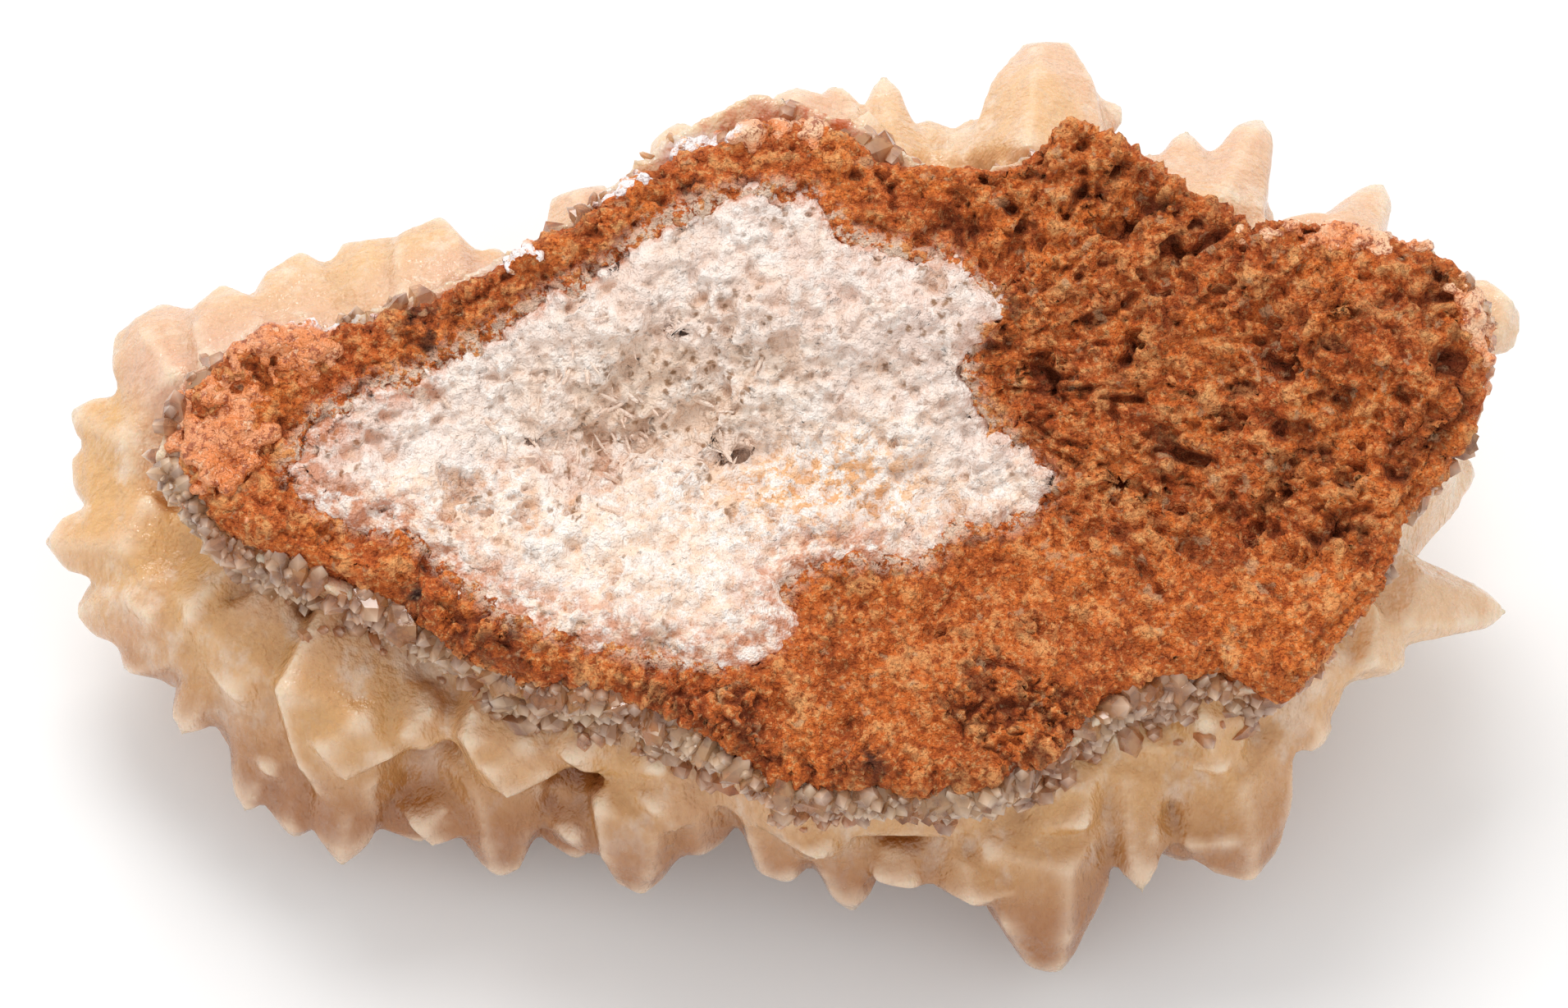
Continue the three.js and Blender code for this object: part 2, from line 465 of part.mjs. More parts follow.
// The crust that joins the teeth: a bowl round the rock, drawn in below a lip along the edge of the back.
function crustBodySolid() {
  const directions = rockOutline.directions(CRUST_SEGMENTS);
  const around = (share, overhang, height) => rockOutline.ring(directions, share, overhang, height);
  const bowl = (share) => around(share, 0, () => undersideHeight(share));
  const { least, farSide, leftEnd } = BOWL_GIRTH;
  const girth = (angle) =>
    least + farSide * Math.max(0, Math.sin(angle)) + leftEnd * Math.max(0, -Math.cos(angle)) ** 2;
  const lipWidth = (angle) => lipAt(angle).width + LIP_WAVES.height * Math.sin(LIP_WAVES.count * angle);
  const lipHeight = (x, y, k, angle) => backHeight(x, y) - lipAt(angle).drop;
  const [cx, cy] = ROCK_CENTRE;
  const rings = [
    bowl(0.55),
    bowl(0.9),
    around(1, girth, () => BOWL_GIRTH.height),
    around(0.97, (a) => 0.4 * girth(a), (x, y, k, a) => lipHeight(x, y, k, a) - LIP_UNDERCUT),
    around(1, (a) => lipWidth(a) - 0.4, (x, y, k, a) => lipHeight(x, y, k, a) - LIP_THICKNESS),
    around(1, lipWidth, lipHeight),
    around(0.8, 0, (x, y) => backPlane(y) - 5.5),
  ];
  return solidOf(ringedGeometry(vec(cx, cy, CRUST_BOTTOM), rings, vec(cx, cy, backPlane(cy) - 6)));
}

function crustGeometry() {
  let crust = crustBodySolid();
  const handPlaced = [...RIM_TEETH, ...WALL_TEETH, ...END_TEETH];
  for (const tooth of [...handPlaced, ...skirtTeeth(), ...underTeeth(), ...footTeeth()]) {
    crust = crust.add(toothSolid(tooth));
  }
  const belowGround = new THREE.BoxGeometry(200, 200, 20).translate(0, 0, -10);
  return outerShell(geometryOf(crust.subtract(solidOf(belowGround)).subtract(rockStock(GROWTH_GAP))));
}

function matrixGeometry() {
  let rock = rockStock(0).intersect(everythingBelow(backHeight)).subtract(coreStock(GROWTH_GAP));
  const onRock = (x, y, margin) => rockOutline.holds(x, y, margin) && !coreOutline.holds(x, y, -margin);
  for (const pit of pitSolids(ROCK_PITS, onRock)) rock = rock.subtract(pit);
  return outerShell(geometryOf(rock));
}

function coreGeometry() {
  let core = coreStock(0).intersect(everythingBelow((x, y) => backHeight(x, y) + CORE_RISE));
  const onCore = (x, y, margin) => coreOutline.holds(x, y, margin);
  for (const pit of pitSolids(CORE_PITS, onCore)) core = core.subtract(pit);
  return outerShell(geometryOf(core));
}

function mineral(name, geometry, color, roughness) {
  const material = new THREE.MeshStandardMaterial({ color, roughness, metalness: 0, flatShading: true });
  const mesh = new THREE.Mesh(geometry, material);
  mesh.name = name;
  return mesh;
}

const crust = mineral("dogtooth_crust", crustGeometry(), 0xdcb48c, 0.35);
const matrix = mineral("iron_stained_matrix", matrixGeometry(), 0xab5c2e, 0.95);
const core = mineral("white_calcite_core", coreGeometry(), 0xf0e4d8, 0.7);

// The origin goes under the middle of the whole specimen.
const grown = new THREE.Group().add(crust, matrix, core);
const box = new THREE.Box3().setFromObject(grown);
grown.position.set(-(box.min.x + box.max.x) / 2, -(box.min.y + box.max.y) / 2, -box.min.z);

const specimen = new THREE.Group().add(grown);
export default specimen;
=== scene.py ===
"""Dogtooth calcite on a rusty rock, lying on its crystals with the broken back of the rock facing up.

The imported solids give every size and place. Each one is copied, skinned finely and given its relief in
millimetres, and then scaled to the frame's metres. Nothing in here is random from one run to the next.
"""
import itertools
import logging
import math
from dataclasses import dataclass, field
from enum import Enum
from typing import Callable

import bmesh
import bpy
import numpy as np
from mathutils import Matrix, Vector
from mathutils.bvhtree import BVHTree


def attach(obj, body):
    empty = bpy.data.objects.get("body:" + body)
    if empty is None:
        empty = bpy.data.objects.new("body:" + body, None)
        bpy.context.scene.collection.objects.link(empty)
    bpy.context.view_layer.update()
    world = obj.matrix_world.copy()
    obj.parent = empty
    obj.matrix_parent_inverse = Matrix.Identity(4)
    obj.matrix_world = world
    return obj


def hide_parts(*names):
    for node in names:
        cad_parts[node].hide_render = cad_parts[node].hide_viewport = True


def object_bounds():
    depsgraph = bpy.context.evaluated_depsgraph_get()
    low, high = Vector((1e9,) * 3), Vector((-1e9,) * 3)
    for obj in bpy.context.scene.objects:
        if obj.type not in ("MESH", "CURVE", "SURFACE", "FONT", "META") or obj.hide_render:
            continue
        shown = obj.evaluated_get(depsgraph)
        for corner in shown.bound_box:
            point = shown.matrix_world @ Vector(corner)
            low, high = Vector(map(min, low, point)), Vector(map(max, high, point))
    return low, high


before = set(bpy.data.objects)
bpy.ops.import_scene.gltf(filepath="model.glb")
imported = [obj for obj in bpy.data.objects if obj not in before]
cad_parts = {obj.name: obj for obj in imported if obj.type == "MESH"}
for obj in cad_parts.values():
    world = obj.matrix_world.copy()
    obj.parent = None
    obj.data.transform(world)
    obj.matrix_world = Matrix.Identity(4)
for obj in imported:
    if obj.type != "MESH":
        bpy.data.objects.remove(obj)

log = logging.getLogger("specimen")

MM = 0.001
BODY = "root"
CAD_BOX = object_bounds()
CALCITE_IOR = 1.58
EDGE_ALLOWANCE = 0.01  # how far the dressed pieces may pass the solids' box, as a share of its sides

Colour = tuple[float, float, float, float]


class Slot(Enum):
    """The record's material slots."""

    CRYSTAL = "honey_calcite"
    ROCK = "rusty_rock"
    CORE = "white_calcite"


class Node(Enum):
    """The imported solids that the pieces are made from."""

    CRUST = "dogtooth_crust"
    ROCK = "iron_stained_matrix"
    CORE = "white_calcite_core"


def srgb(red: int, green: int, blue: int) -> Colour:
    """Turn a screen colour into the linear one that a shader takes.

    Args:
        red: Red from 0 to 255.
        green: Green from 0 to 255.
        blue: Blue from 0 to 255.

    Returns:
        The linear red, green, blue and full opacity.
    """
    linear = [((c / 255 + 0.055) / 1.055) ** 2.4 if c > 10 else c / 255 / 12.92 for c in (red, green, blue)]
    return (linear[0], linear[1], linear[2], 1.0)


def smooth_step(values: np.ndarray, low: float, high: float) -> np.ndarray:
    """Rise smoothly from 0 at one value to 1 at another.

    Args:
        values: The values to judge.
        low: Where the result is still 0.
        high: Where the result has reached 1.

    Returns:
        A share from 0 to 1 for each value.
    """
    share = np.clip((values - low) / (high - low), 0, 1)
    return share * share * (3 - 2 * share)


def linked(name: str, data: bpy.types.ID) -> bpy.types.Object:
    """Put a new object into the scene.

    Args:
        name: The object's name.
        data: Its mesh, lamp or camera.

    Returns:
        The object.
    """
    made = bpy.data.objects.new(name, data)
    bpy.context.scene.collection.objects.link(made)
    return made


def triangle_count(mesh: bpy.types.Mesh) -> int:
    """Count the triangles that a mesh's faces come to."""
    return sum(len(face.vertices) - 2 for face in mesh.polygons)


def unit(ways: np.ndarray) -> np.ndarray:
    """Give every direction a length of one."""
    return ways / np.linalg.norm(ways, axis=1, keepdims=True)


def spot(x: np.ndarray, y: np.ndarray, middle: tuple[float, float], reach: tuple[float, float]) -> np.ndarray:
    """Mark a soft oval spot, seen from above.

    Args:
        x: Places along the specimen in millimetres.
        y: Places across it.
        middle: The spot's middle.
        reach: How far it reaches along and across.

    Returns:
        1 at the middle, fading to 0 outside.
    """
    return np.exp(-(((x - middle[0]) / reach[0]) ** 2) - ((y - middle[1]) / reach[1]) ** 2)


class Grain:
    """Random fields in space, the same on every run."""

    STRIDES = (374761393, 668265263, 1440662683)
    SEED_STRIDE = 974711
    MIXER = 1274126177
    SEED_SHIFT = 7.31
    LEAST_PIT = 0.22
    PIT_SPREAD = 0.3

    @classmethod
    def chance(cls, cells: np.ndarray, seed: int) -> np.ndarray:
        """Give each cell of a whole-number lattice its own number.

        Args:
            cells: Whole-number places, the last axis holding x, y and z.
            seed: Which set of numbers to draw from.

        Returns:
            A number from 0 to 1 for each cell.
        """
        mixed = sum(cells[..., axis] * stride for axis, stride in enumerate(cls.STRIDES))
        mixed = mixed + seed * cls.SEED_STRIDE
        mixed = ((mixed & 0xFFFFFFFF) ^ ((mixed >> 13) & 0x7FFFF)) * cls.MIXER
        mixed = (mixed & 0xFFFFFFFF) ^ ((mixed >> 16) & 0xFFFF)
        return (mixed & 0xFFFFFF) / 0xFFFFFF

    @classmethod
    def lumps(cls, points: np.ndarray, size: float, seed: int) -> np.ndarray:
        """Draw smooth lumps of one size.

        Args:
            points: Places in millimetres.
            size: The lumps' size in millimetres.
            seed: Which lumps to draw.

        Returns:
            A value from -1 to 1 at each place.
        """
        place = points / size + seed * cls.SEED_SHIFT
        cell = np.floor(place).astype(np.int64)
        share = smooth_step(place - cell, 0, 1)
        total = np.zeros(len(points))
        for corner in itertools.product((0, 1), repeat=3):
            weight = np.prod(np.where(corner, share, 1 - share), axis=1)
            total += weight * cls.chance(cell + np.array(corner), seed)
        return total * 2 - 1

    @classmethod
    def rough(
        cls, points: np.ndarray, size: float, seed: int, octaves: int = 3, fade: float = 0.5
    ) -> np.ndarray:
        """Draw lumps on lumps, each set half the size of the last.

        Args:
            points: Places in millimetres.
            size: The largest lumps' size in millimetres.
            seed: Which lumps to draw.
            octaves: How many sets of lumps.
            fade: How much weaker each smaller set is.

        Returns:
            A value from about -1 to 1 at each place.
        """
        total = np.zeros(len(points))
        for octave in range(octaves):
            total += fade**octave * cls.lumps(points, size / 2**octave, seed + octave)
        return total

    @classmethod
    def cells(cls, points: np.ndarray, size: float, seed: int) -> tuple[np.ndarray, np.ndarray, np.ndarray]:
        """Find the nearest two of the points scattered one to a cell.

        Args:
            points: Places in millimetres.
            size: The cells' size in millimetres.
            seed: Which points to scatter.

        Returns:
            The distances to the nearest and the next scattered point as shares of the cell size, and the
            nearest one's own chance.
        """
        place = points / size
        cell = np.floor(place).astype(np.int64)
        nearest = np.full(len(points), 9.0)
        second = nearest.copy()
        owner = np.zeros(len(points))
        for step in itertools.product((-1, 0, 1), repeat=3):
            there = cell + np.array(step)
            offset = np.stack([cls.chance(there, seed + k) for k in range(3)], axis=1)
            distance = np.linalg.norm(place - there - offset, axis=1)
            closer = distance < nearest
            second = np.minimum(second, np.where(closer, nearest, distance))
            nearest = np.where(closer, distance, nearest)
            owner = np.where(closer, cls.chance(there, seed + 3), owner)
        return nearest, second, owner

    @classmethod
    def grains(cls, points: np.ndarray, size: float, seed: int) -> np.ndarray:
        """Draw blocky grains, each standing in or out by its own chance, from -1 to 1."""
        return cls.cells(points, size, seed)[2] * 2 - 1

    @classmethod
    def cracks(cls, points: np.ndarray, size: float, seed: int, width: float) -> np.ndarray:
        """Draw the cracks between blocky grains.

        Args:
            points: Places in millimetres.
            size: The grains' size in millimetres.
            seed: Which grains to draw.
            width: The cracks' width in millimetres.

        Returns:
            1 in the cracks and 0 on the grains.
        """
        nearest, second, _ = cls.cells(points, size, seed)
        return 1 - smooth_step((second - nearest) * size, 0.3 * width, width)

    @classmethod
    def sponge(
        cls, points: np.ndarray, size: float, seed: int, low: float = 0.2, high: float = 0.7
    ) -> np.ndarray:
        """Draw irregular pores.

        Args:
            points: Places in millimetres.
            size: The pores' size in millimetres.
            seed: Which pores to draw.
            low: How low the field is where a pore starts.
            high: How low it is where a pore is deepest.

        Returns:
            0 outside the pores, rising to 1 in their middles.
        """
        return smooth_step(-cls.rough(points, size, seed, 2, 0.5), low, high)

    @classmethod
    def pits(cls, points: np.ndarray, size: float, seed: int, share: float) -> np.ndarray:
        """Draw round pits of mixed widths.

        Args:
            points: Places in millimetres.
            size: The spacing of the pits in millimetres.
            seed: Which pits to draw.
            share: How many of the cells hold a pit.

        Returns:
            0 outside the pits, rising to 1 at the middle of each.
        """
        distance, _, owner = cls.cells(points, size, seed)
        radius = cls.LEAST_PIT + cls.PIT_SPREAD * np.clip(owner / share, 0, 1)
        hollow = np.clip(1 - (distance / radius) ** 2, 0, 1)
        return np.where(owner < share, np.sqrt(hollow), 0)


@dataclass
class Skin:
    """A closed surface in millimetres.

    Attributes:
        corners: Places of the corners, one row each.
        faces: Corner numbers of the faces, one row each.
        marks: Named values from 0 to 1 at the corners, which the finishes read.
    """

    LEAN = 0.9  # how far the outlook's directions lean off the outward one
    CLEARANCE = 0.15  # how far off the surface they start, in millimetres
    DEPTH = 0.05  # how far below the surface its thickness is measured from, in millimetres
    SAME_PLACE = 1e-7  # corners of a solid that are nearer than this, in metres, are joined

    corners: np.ndarray
    faces: np.ndarray
    marks: dict[str, np.ndarray] = field(default_factory=dict)

    @classmethod
    def of_node(cls, node: Node) -> "Skin":
        """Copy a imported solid's surface, its split corners joined again.

        Args:
            node: The solid.

        Returns:
            Its surface in millimetres.
        """
        work = bmesh.new()
        work.from_mesh(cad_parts[node.value].data)
        bmesh.ops.remove_doubles(work, verts=work.verts, dist=cls.SAME_PLACE)
        bmesh.ops.triangulate(work, faces=work.faces)
        corners = np.array([corner.co[:] for corner in work.verts]) / MM
        faces = np.array([[corner.index for corner in face.verts] for face in work.faces])
        work.free()
        return cls(corners, faces)

    @classmethod
    def of_mesh(cls, mesh: bpy.types.Mesh) -> "Skin":
        """Read the corners and faces of a mesh that has only four-sided faces.

        Args:
            mesh: The mesh.

        Returns:
            The same surface, in the mesh's own unit.
        """
        corners = np.empty(len(mesh.vertices) * 3)
        mesh.vertices.foreach_get("co", corners)
        loops = np.empty(len(mesh.loops), dtype=np.int64)
        mesh.loops.foreach_get("vertex_index", loops)
        return cls(corners.reshape(-1, 3), loops.reshape(len(mesh.polygons), -1))

    def mesh(self, name: str, scale: float = 1.0) -> bpy.types.Mesh:
        """Make a mesh of this surface.

        Args:
            name: The mesh's name.
            scale: What the corners are multiplied by.

        Returns:
            The new mesh, its marks stored as attributes of its corners.
        """
        mesh = bpy.data.meshes.new(name)
        mesh.from_pydata(self.corners * scale, [], self.faces.tolist())
        for mark, values in self.marks.items():
            attribute = mesh.attributes.new(mark, "FLOAT", "POINT")
            attribute.data.foreach_set("value", np.clip(values, 0, 1).astype(np.float32))
        mesh.update()
        return mesh

    def joined(self, others: list["Skin"]) -> "Skin":
        """Put other surfaces with this one, without fusing them.

        Args:
            others: The surfaces to add.

        Returns:
            One surface of all the shells.
        """
        shells = [self, *others]
        starts = np.cumsum([0] + [len(shell.corners) for shell in shells])
        faces = [shell.faces + start for shell, start in zip(shells, starts)]
        return Skin(np.concatenate([shell.corners for shell in shells]), np.concatenate(faces))

    def skinned(self, voxel: float) -> "Skin":
        """Fuse overlapping shells into one evenly fine surface.

        Args:
            voxel: The new surface's face size in millimetres.

        Returns:
            The fused surface.
        """
        source = self.mesh("source")
        holder = linked("holder", source)
        remesh = holder.modifiers.new("Skin", "REMESH")
        remesh.mode = "VOXEL"
        remesh.voxel_size = voxel
        fused = bpy.data.meshes.new_from_object(holder.evaluated_get(bpy.context.evaluated_depsgraph_get()))
        skin = Skin.of_mesh(fused)
        bpy.data.objects.remove(holder)
        bpy.data.meshes.remove(source)
        bpy.data.meshes.remove(fused)
        return skin

    def edges(self) -> np.ndarray:
        """List each edge of the faces once, as two corner numbers.

        Returns:
            One row for each edge.
        """
        count = self.faces.shape[1]
        sides = np.concatenate([self.faces[:, [k, (k + 1) % count]] for k in range(count)])
        return np.unique(np.sort(sides, axis=1), axis=0)

    def averaged(self, values: np.ndarray, rounds: int) -> np.ndarray:
        """Even out values over the surface.

        Args:
            values: One row or number for each corner.
            rounds: How many times each value moves halfway to its neighbours' mean.

        Returns:
            The evened values.
        """
        edges = self.edges()
        starts = np.concatenate([edges[:, 0], edges[:, 1]])
        ends = np.concatenate([edges[:, 1], edges[:, 0]])
        count = np.bincount(starts, minlength=len(self.corners))
        columns = values.reshape(len(self.corners), -1).copy()
        for _ in range(rounds):
            for k in range(columns.shape[1]):
                mean = np.bincount(starts, weights=columns[ends, k], minlength=len(self.corners)) / count
                columns[:, k] += 0.5 * (mean - columns[:, k])
        return columns.reshape(values.shape)

    def normals(self) -> np.ndarray:
        """Work out the outward direction at each corner.

        Returns:
            One row of length one for each corner.
        """
        a, b, c = (self.corners[self.faces[:, k]] for k in range(3))
        across = np.cross(b - a, c - a)
        if self.faces.shape[1] == 4:
            d = self.corners[self.faces[:, 3]]
            across = np.cross(c - a, d - b)
        total = np.zeros_like(self.corners)
        for axis in range(3):
            for k in range(self.faces.shape[1]):
                total[:, axis] += np.bincount(self.faces[:, k], weights=across[:, axis], minlength=len(total))
        return total / np.maximum(np.linalg.norm(total, axis=1, keepdims=True), 1e-12)

    def tree(self) -> BVHTree:
        """Make a search tree of the faces."""
        return BVHTree.FromPolygons(self.corners.tolist(), self.faces.tolist())

    def distance_to(self, tree: BVHTree, limit: float) -> np.ndarray:
        """Measure how far each corner is from another surface.

        Args:
            tree: The other surface's search tree.
            limit: Distances beyond this in millimetres count as this.

        Returns:
            The distances in millimetres.
        """
        found = (tree.find_nearest(corner, limit)[3] for corner in self.corners.tolist())
        return np.array([limit if distance is None else distance for distance in found])

    def shelter(self, reach: float, rays: int, seed: int) -> np.ndarray:
        """Measure how much of the outlook from each corner the surface itself blocks.

        Args:
            reach: How far off something still blocks it, in millimetres.
            rays: How many directions are tried at each corner.
            seed: Which directions are tried.

        Returns:
            0 in the open, up to 1 deep between crystals.
        """
        rng = np.random.default_rng(seed)
        tree = self.tree()
        outward = self.normals()
        starts = (self.corners + self.CLEARANCE * outward).tolist()
        blocked = np.zeros(len(starts))
        for _ in range(rays):
            ways = outward + self.LEAN * unit(rng.normal(size=outward.shape))
            pairs = zip(starts, ways.tolist())
            blocked += [tree.ray_cast(start, way, reach)[0] is not None for start, way in pairs]
        return self.averaged(blocked / rays, rounds=4)

    def thickness(self, limit: float) -> np.ndarray:
        """Measure how thick the solid is under each corner.

        Args:
            limit: Thicknesses beyond this in millimetres count as this.

        Returns:
            The thicknesses in millimetres.
        """
        tree = self.tree()
        inward = -self.normals()
        starts = (self.corners + self.DEPTH * inward).tolist()
        found = (tree.ray_cast(start, way, limit)[3] for start, way in zip(starts, inward.tolist()))
        return np.array([limit if distance is None else distance for distance in found])

    def kept_in_box(self) -> None:
        """Draw corners that have strayed out of the solids' box back to its sides, and to the ground."""
        low, high = (np.array(corner) / MM for corner in CAD_BOX)
        spare = EDGE_ALLOWANCE * (high - low)
        floor = np.array([low[0] - spare[0], low[1] - spare[1], low[2]])
        self.corners = np.clip(self.corners, floor, high + spare)

    def scattered(
        self, count: int, weight: np.ndarray, rng: np.random.Generator
    ) -> tuple[np.ndarray, np.ndarray]:
        """Choose random places on the surface.

        Args:
            count: How many places.
            weight: How likely each corner's surroundings are chosen.
            rng: The seeded source of chance.

        Returns:
            The places and the outward directions there.
        """
        a, b, c = (self.corners[self.faces[:, k]] for k in range(3))
        area = np.linalg.norm(np.cross(b - a, c - a), axis=1)
        likely = np.cumsum(area * weight[self.faces].mean(axis=1))
        chosen = np.searchsorted(likely, rng.random(count) * likely[-1])
        share = rng.dirichlet((1, 1, 1), count)
        corners = self.faces[chosen][:, :3]
        places = np.einsum("nk,nkj->nj", share, self.corners[corners])
        outward = np.einsum("nk,nkj->nj", share, self.normals()[corners])
        return places, unit(outward)


@dataclass(frozen=True)
class Habit:
    """The shape of small six-sided crystals that are widest low down and end in a low point.

    Attributes:
        blunt: Width at the shoulder, as a share of the width at the middle.
        sunk: How much of the length is below the place that a crystal grows from.
        foot: Width at the foot, as a share of the width at the middle.
        middle_at: How far up the widest ring is, as a share of the length.
        shoulder_at: How far up the shoulder is.
        zigzag: How far a ring's corners go up and down in turn, as a share of the length.
        reaches: How far out a ring's corners lie in turn, as a share of half its width.
        sides: How many corners a ring has.
    """

    blunt: float
    sunk: float
    foot: float = 0.55
    middle_at: float = 0.3
    shoulder_at: float = 0.78
    zigzag: float = 0.06
    reaches: tuple[float, float] = (0.9, 1.06)
    sides: int = 6

    def rings(self) -> list[tuple[float, float]]:
        """List how far up and how wide each ring is, as shares of the length and the width."""
        return [(0.0, self.foot), (self.middle_at, 1.0), (self.shoulder_at, self.blunt)]

    def skin(self, places: np.ndarray, axes: np.ndarray, lengths: np.ndarray, widths: np.ndarray) -> Skin:
        """Build crystals of this habit as one joined surface.

        Args:
            places: Where each crystal comes out of what it grows on.
            axes: The direction each one grows in.
            lengths: Each one's length.
            widths: Each one's width.

        Returns:
            The joined surface, closed crystal by crystal.
        """
        axes = unit(axes)
        roots = places - axes * (self.sunk * lengths)[:, None]
        helper = np.where(np.abs(axes[:, 2:3]) > 0.8, [[1.0, 0.0, 0.0]], [[0.0, 0.0, 1.0]])
        across = unit(np.cross(axes, helper))
        beside = np.cross(axes, across)
        corners = [roots]
        for along, out in self.rings():
            for k in range(self.sides):
                rise = lengths * (along + self.zigzag * (-1) ** k)
                reach = 0.5 * widths * out * self.reaches[k % 2]
                angle = math.tau * k / self.sides
                turned = np.cos(angle) * across + np.sin(angle) * beside
                corners.append(roots + axes * rise[:, None] + turned * reach[:, None])
        corners.append(roots + axes * lengths[:, None])
        return Skin(np.stack(corners, axis=1).reshape(-1, 3), self.faces(len(places)))

    def faces(self, count: int) -> np.ndarray:
        """List the faces of a number of crystals: their feet, their sides and their points.

        Args:
            count: How many crystals.

        Returns:
            Corner numbers, one row for each face.
        """
        around = [(k, (k + 1) % self.sides) for k in range(self.sides)]
        rings = [1 + ring * self.sides for ring in range(len(self.rings()))]
        one = [(0, 1 + there, 1 + here) for here, there in around]
        for low, high in itertools.pairwise(rings):
            for here, there in around:
                one.append((low + here, low + there, high + there))
                one.append((low + here, high + there, high + here))
        top = rings[-1] + self.sides
        one += [(top, rings[-1] + here, rings[-1] + there) for here, there in around]
        firsts = np.arange(count) * (top + 1)
        return (np.array(one) + firsts[:, None, None]).reshape(-1, 3)

    def tip_marks(self, count: int, shoulder: float) -> np.ndarray:
        """Mark the corners of a number of crystals by how near the point they are.

        Args:
            count: How many crystals.
            shoulder: The value on the shoulders.

        Returns:
            0 below the shoulder, that value on it and 1 at the point.
        """
        below = 1 + (len(self.rings()) - 1) * self.sides
        return np.tile([0.0] * below + [shoulder] * self.sides + [1.0], count)


class Shader:
    """A material's node tree, built one node at a time."""

    FIRST_COLOUR, SECOND_COLOUR, MIXED_COLOUR = 6, 7, 2  # the mix node's sockets for colours

    def __init__(self, name: str) -> None:
        """Start an empty material with an output and a principled shader."""
        self.material = bpy.data.materials.new(name)
        self.material.use_nodes = True
        self.tree = self.material.node_tree
        self.tree.nodes.clear()
        self.output = self.tree.nodes.new("ShaderNodeOutputMaterial")
        self.surface = self.tree.nodes.new("ShaderNodeBsdfPrincipled")
        self.tree.links.new(self.surface.outputs[0], self.output.inputs["Surface"])
        self.place = self.tree.nodes.new("ShaderNodeTexCoord").outputs["Object"]

    def put(self, socket: bpy.types.NodeSocket, value: object) -> None:
        """Set a socket to a value, or link it to another node's output.

        Args:
            socket: The socket.
            value: The value, or the other node's output.
        """
        if isinstance(value, bpy.types.NodeSocket):
            self.tree.links.new(value, socket)
        else:
            socket.default_value = value

    def dress(self, **values: object) -> None:
        """Set the shader's own sockets, named with underscores for spaces."""
        for name, value in values.items():
            self.put(self.surface.inputs[name.replace("_", " ")], value)

    def mark(self, name: str) -> bpy.types.NodeSocket:
        """Read one of the surface's marks.

        Args:
            name: The mark's name.

        Returns:
            Its value, from 0 to 1.
        """
        node = self.tree.nodes.new("ShaderNodeAttribute")
        node.attribute_name = name
        return node.outputs["Fac"]

    def stretched(self, ratio: tuple[float, float, float]) -> bpy.types.NodeSocket:
        """Give coordinates that are stretched along an axis.

        Args:
            ratio: What each axis is multiplied by.

        Returns:
            The new coordinates.
        """
        node = self.tree.nodes.new("ShaderNodeMapping")
        node.vector_type = "TEXTURE"
        node.inputs["Scale"].default_value = [1 / side for side in ratio]
        self.put(node.inputs["Vector"], self.place)
        return node.outputs["Vector"]

    def warped(self, size: float, amount: float) -> bpy.types.NodeSocket:
        """Give coordinates that are pushed about by noise.

        Args:
            size: The noise's size in millimetres.
            amount: How far it pushes, in millimetres.

        Returns:
            The new coordinates.
        """
        clouds = self.tree.nodes.new("ShaderNodeTexNoise")
        clouds.inputs["Scale"].default_value = 1 / (size * MM)
        self.put(clouds.inputs["Vector"], self.place)
        node = self.tree.nodes.new("ShaderNodeVectorMath")
        node.operation = "MULTIPLY_ADD"
        self.put(node.inputs[0], clouds.outputs["Color"])
        node.inputs[1].default_value = (amount * MM, amount * MM, amount * MM)
        self.put(node.inputs[2], self.place)
        return node.outputs[0]

    def noise(
        self, size: float, detail: float, rough: float = 0.55, place: bpy.types.NodeSocket | None = None
    ) -> bpy.types.NodeSocket:
        """Draw cloudy noise.

        Args:
            size: The clouds' size in millimetres.
            detail: How many finer sets of clouds there are.
            rough: How strong the finer sets are.
            place: Coordinates, if not the object's own.

        Returns:
            A value round 0.5.
        """
        node = self.tree.nodes.new("ShaderNodeTexNoise")
        node.inputs["Scale"].default_value = 1 / (size * MM)
        node.inputs["Detail"].default_value = detail
        node.inputs["Roughness"].default_value = rough
        self.put(node.inputs["Vector"], place or self.place)
        return node.outputs["Fac"]

    def specks(self, size: float, place: bpy.types.NodeSocket | None = None) -> bpy.types.NodeSocket:
        """Measure the distance to the nearest of many scattered points.

        Args:
            size: Their spacing in millimetres.
            place: Coordinates, if not the object's own.

        Returns:
            The distance as a share of the spacing.
        """
        node = self.tree.nodes.new("ShaderNodeTexVoronoi")
        node.inputs["Scale"].default_value = 1 / (size * MM)
        self.put(node.inputs["Vector"], place or self.place)
        return node.outputs["Distance"]

    def between(
        self, value: object, low: float, high: float, to_low: float = 0.0, to_high: float = 1.0
    ) -> bpy.types.NodeSocket:
        """Map a range of values to another, held at its ends.

        Args:
            value: What is mapped.
            low: The start of its range.
            high: The end of its range.
            to_low: What the start becomes.
            to_high: What the end becomes.

        Returns:
            The mapped value.
        """
        node = self.tree.nodes.new("ShaderNodeMapRange")
        node.interpolation_type = "SMOOTHSTEP"
        given = {"Value": value, "From Min": low, "From Max": high, "To Min": to_low, "To Max": to_high}
        for name, setting in given.items():
            self.put(node.inputs[name], setting)
        return node.outputs["Result"]

    def times(self, first: object, second: object) -> bpy.types.NodeSocket:
        """Multiply two values, held between 0 and 1.

        Args:
            first: The first value.
            second: The second value.

        Returns:
            Their product.
        """
        node = self.tree.nodes.new("ShaderNodeMath")
        node.operation = "MULTIPLY"
        node.use_clamp = True
        self.put(node.inputs[0], first)
        self.put(node.inputs[1], second)
        return node.outputs[0]

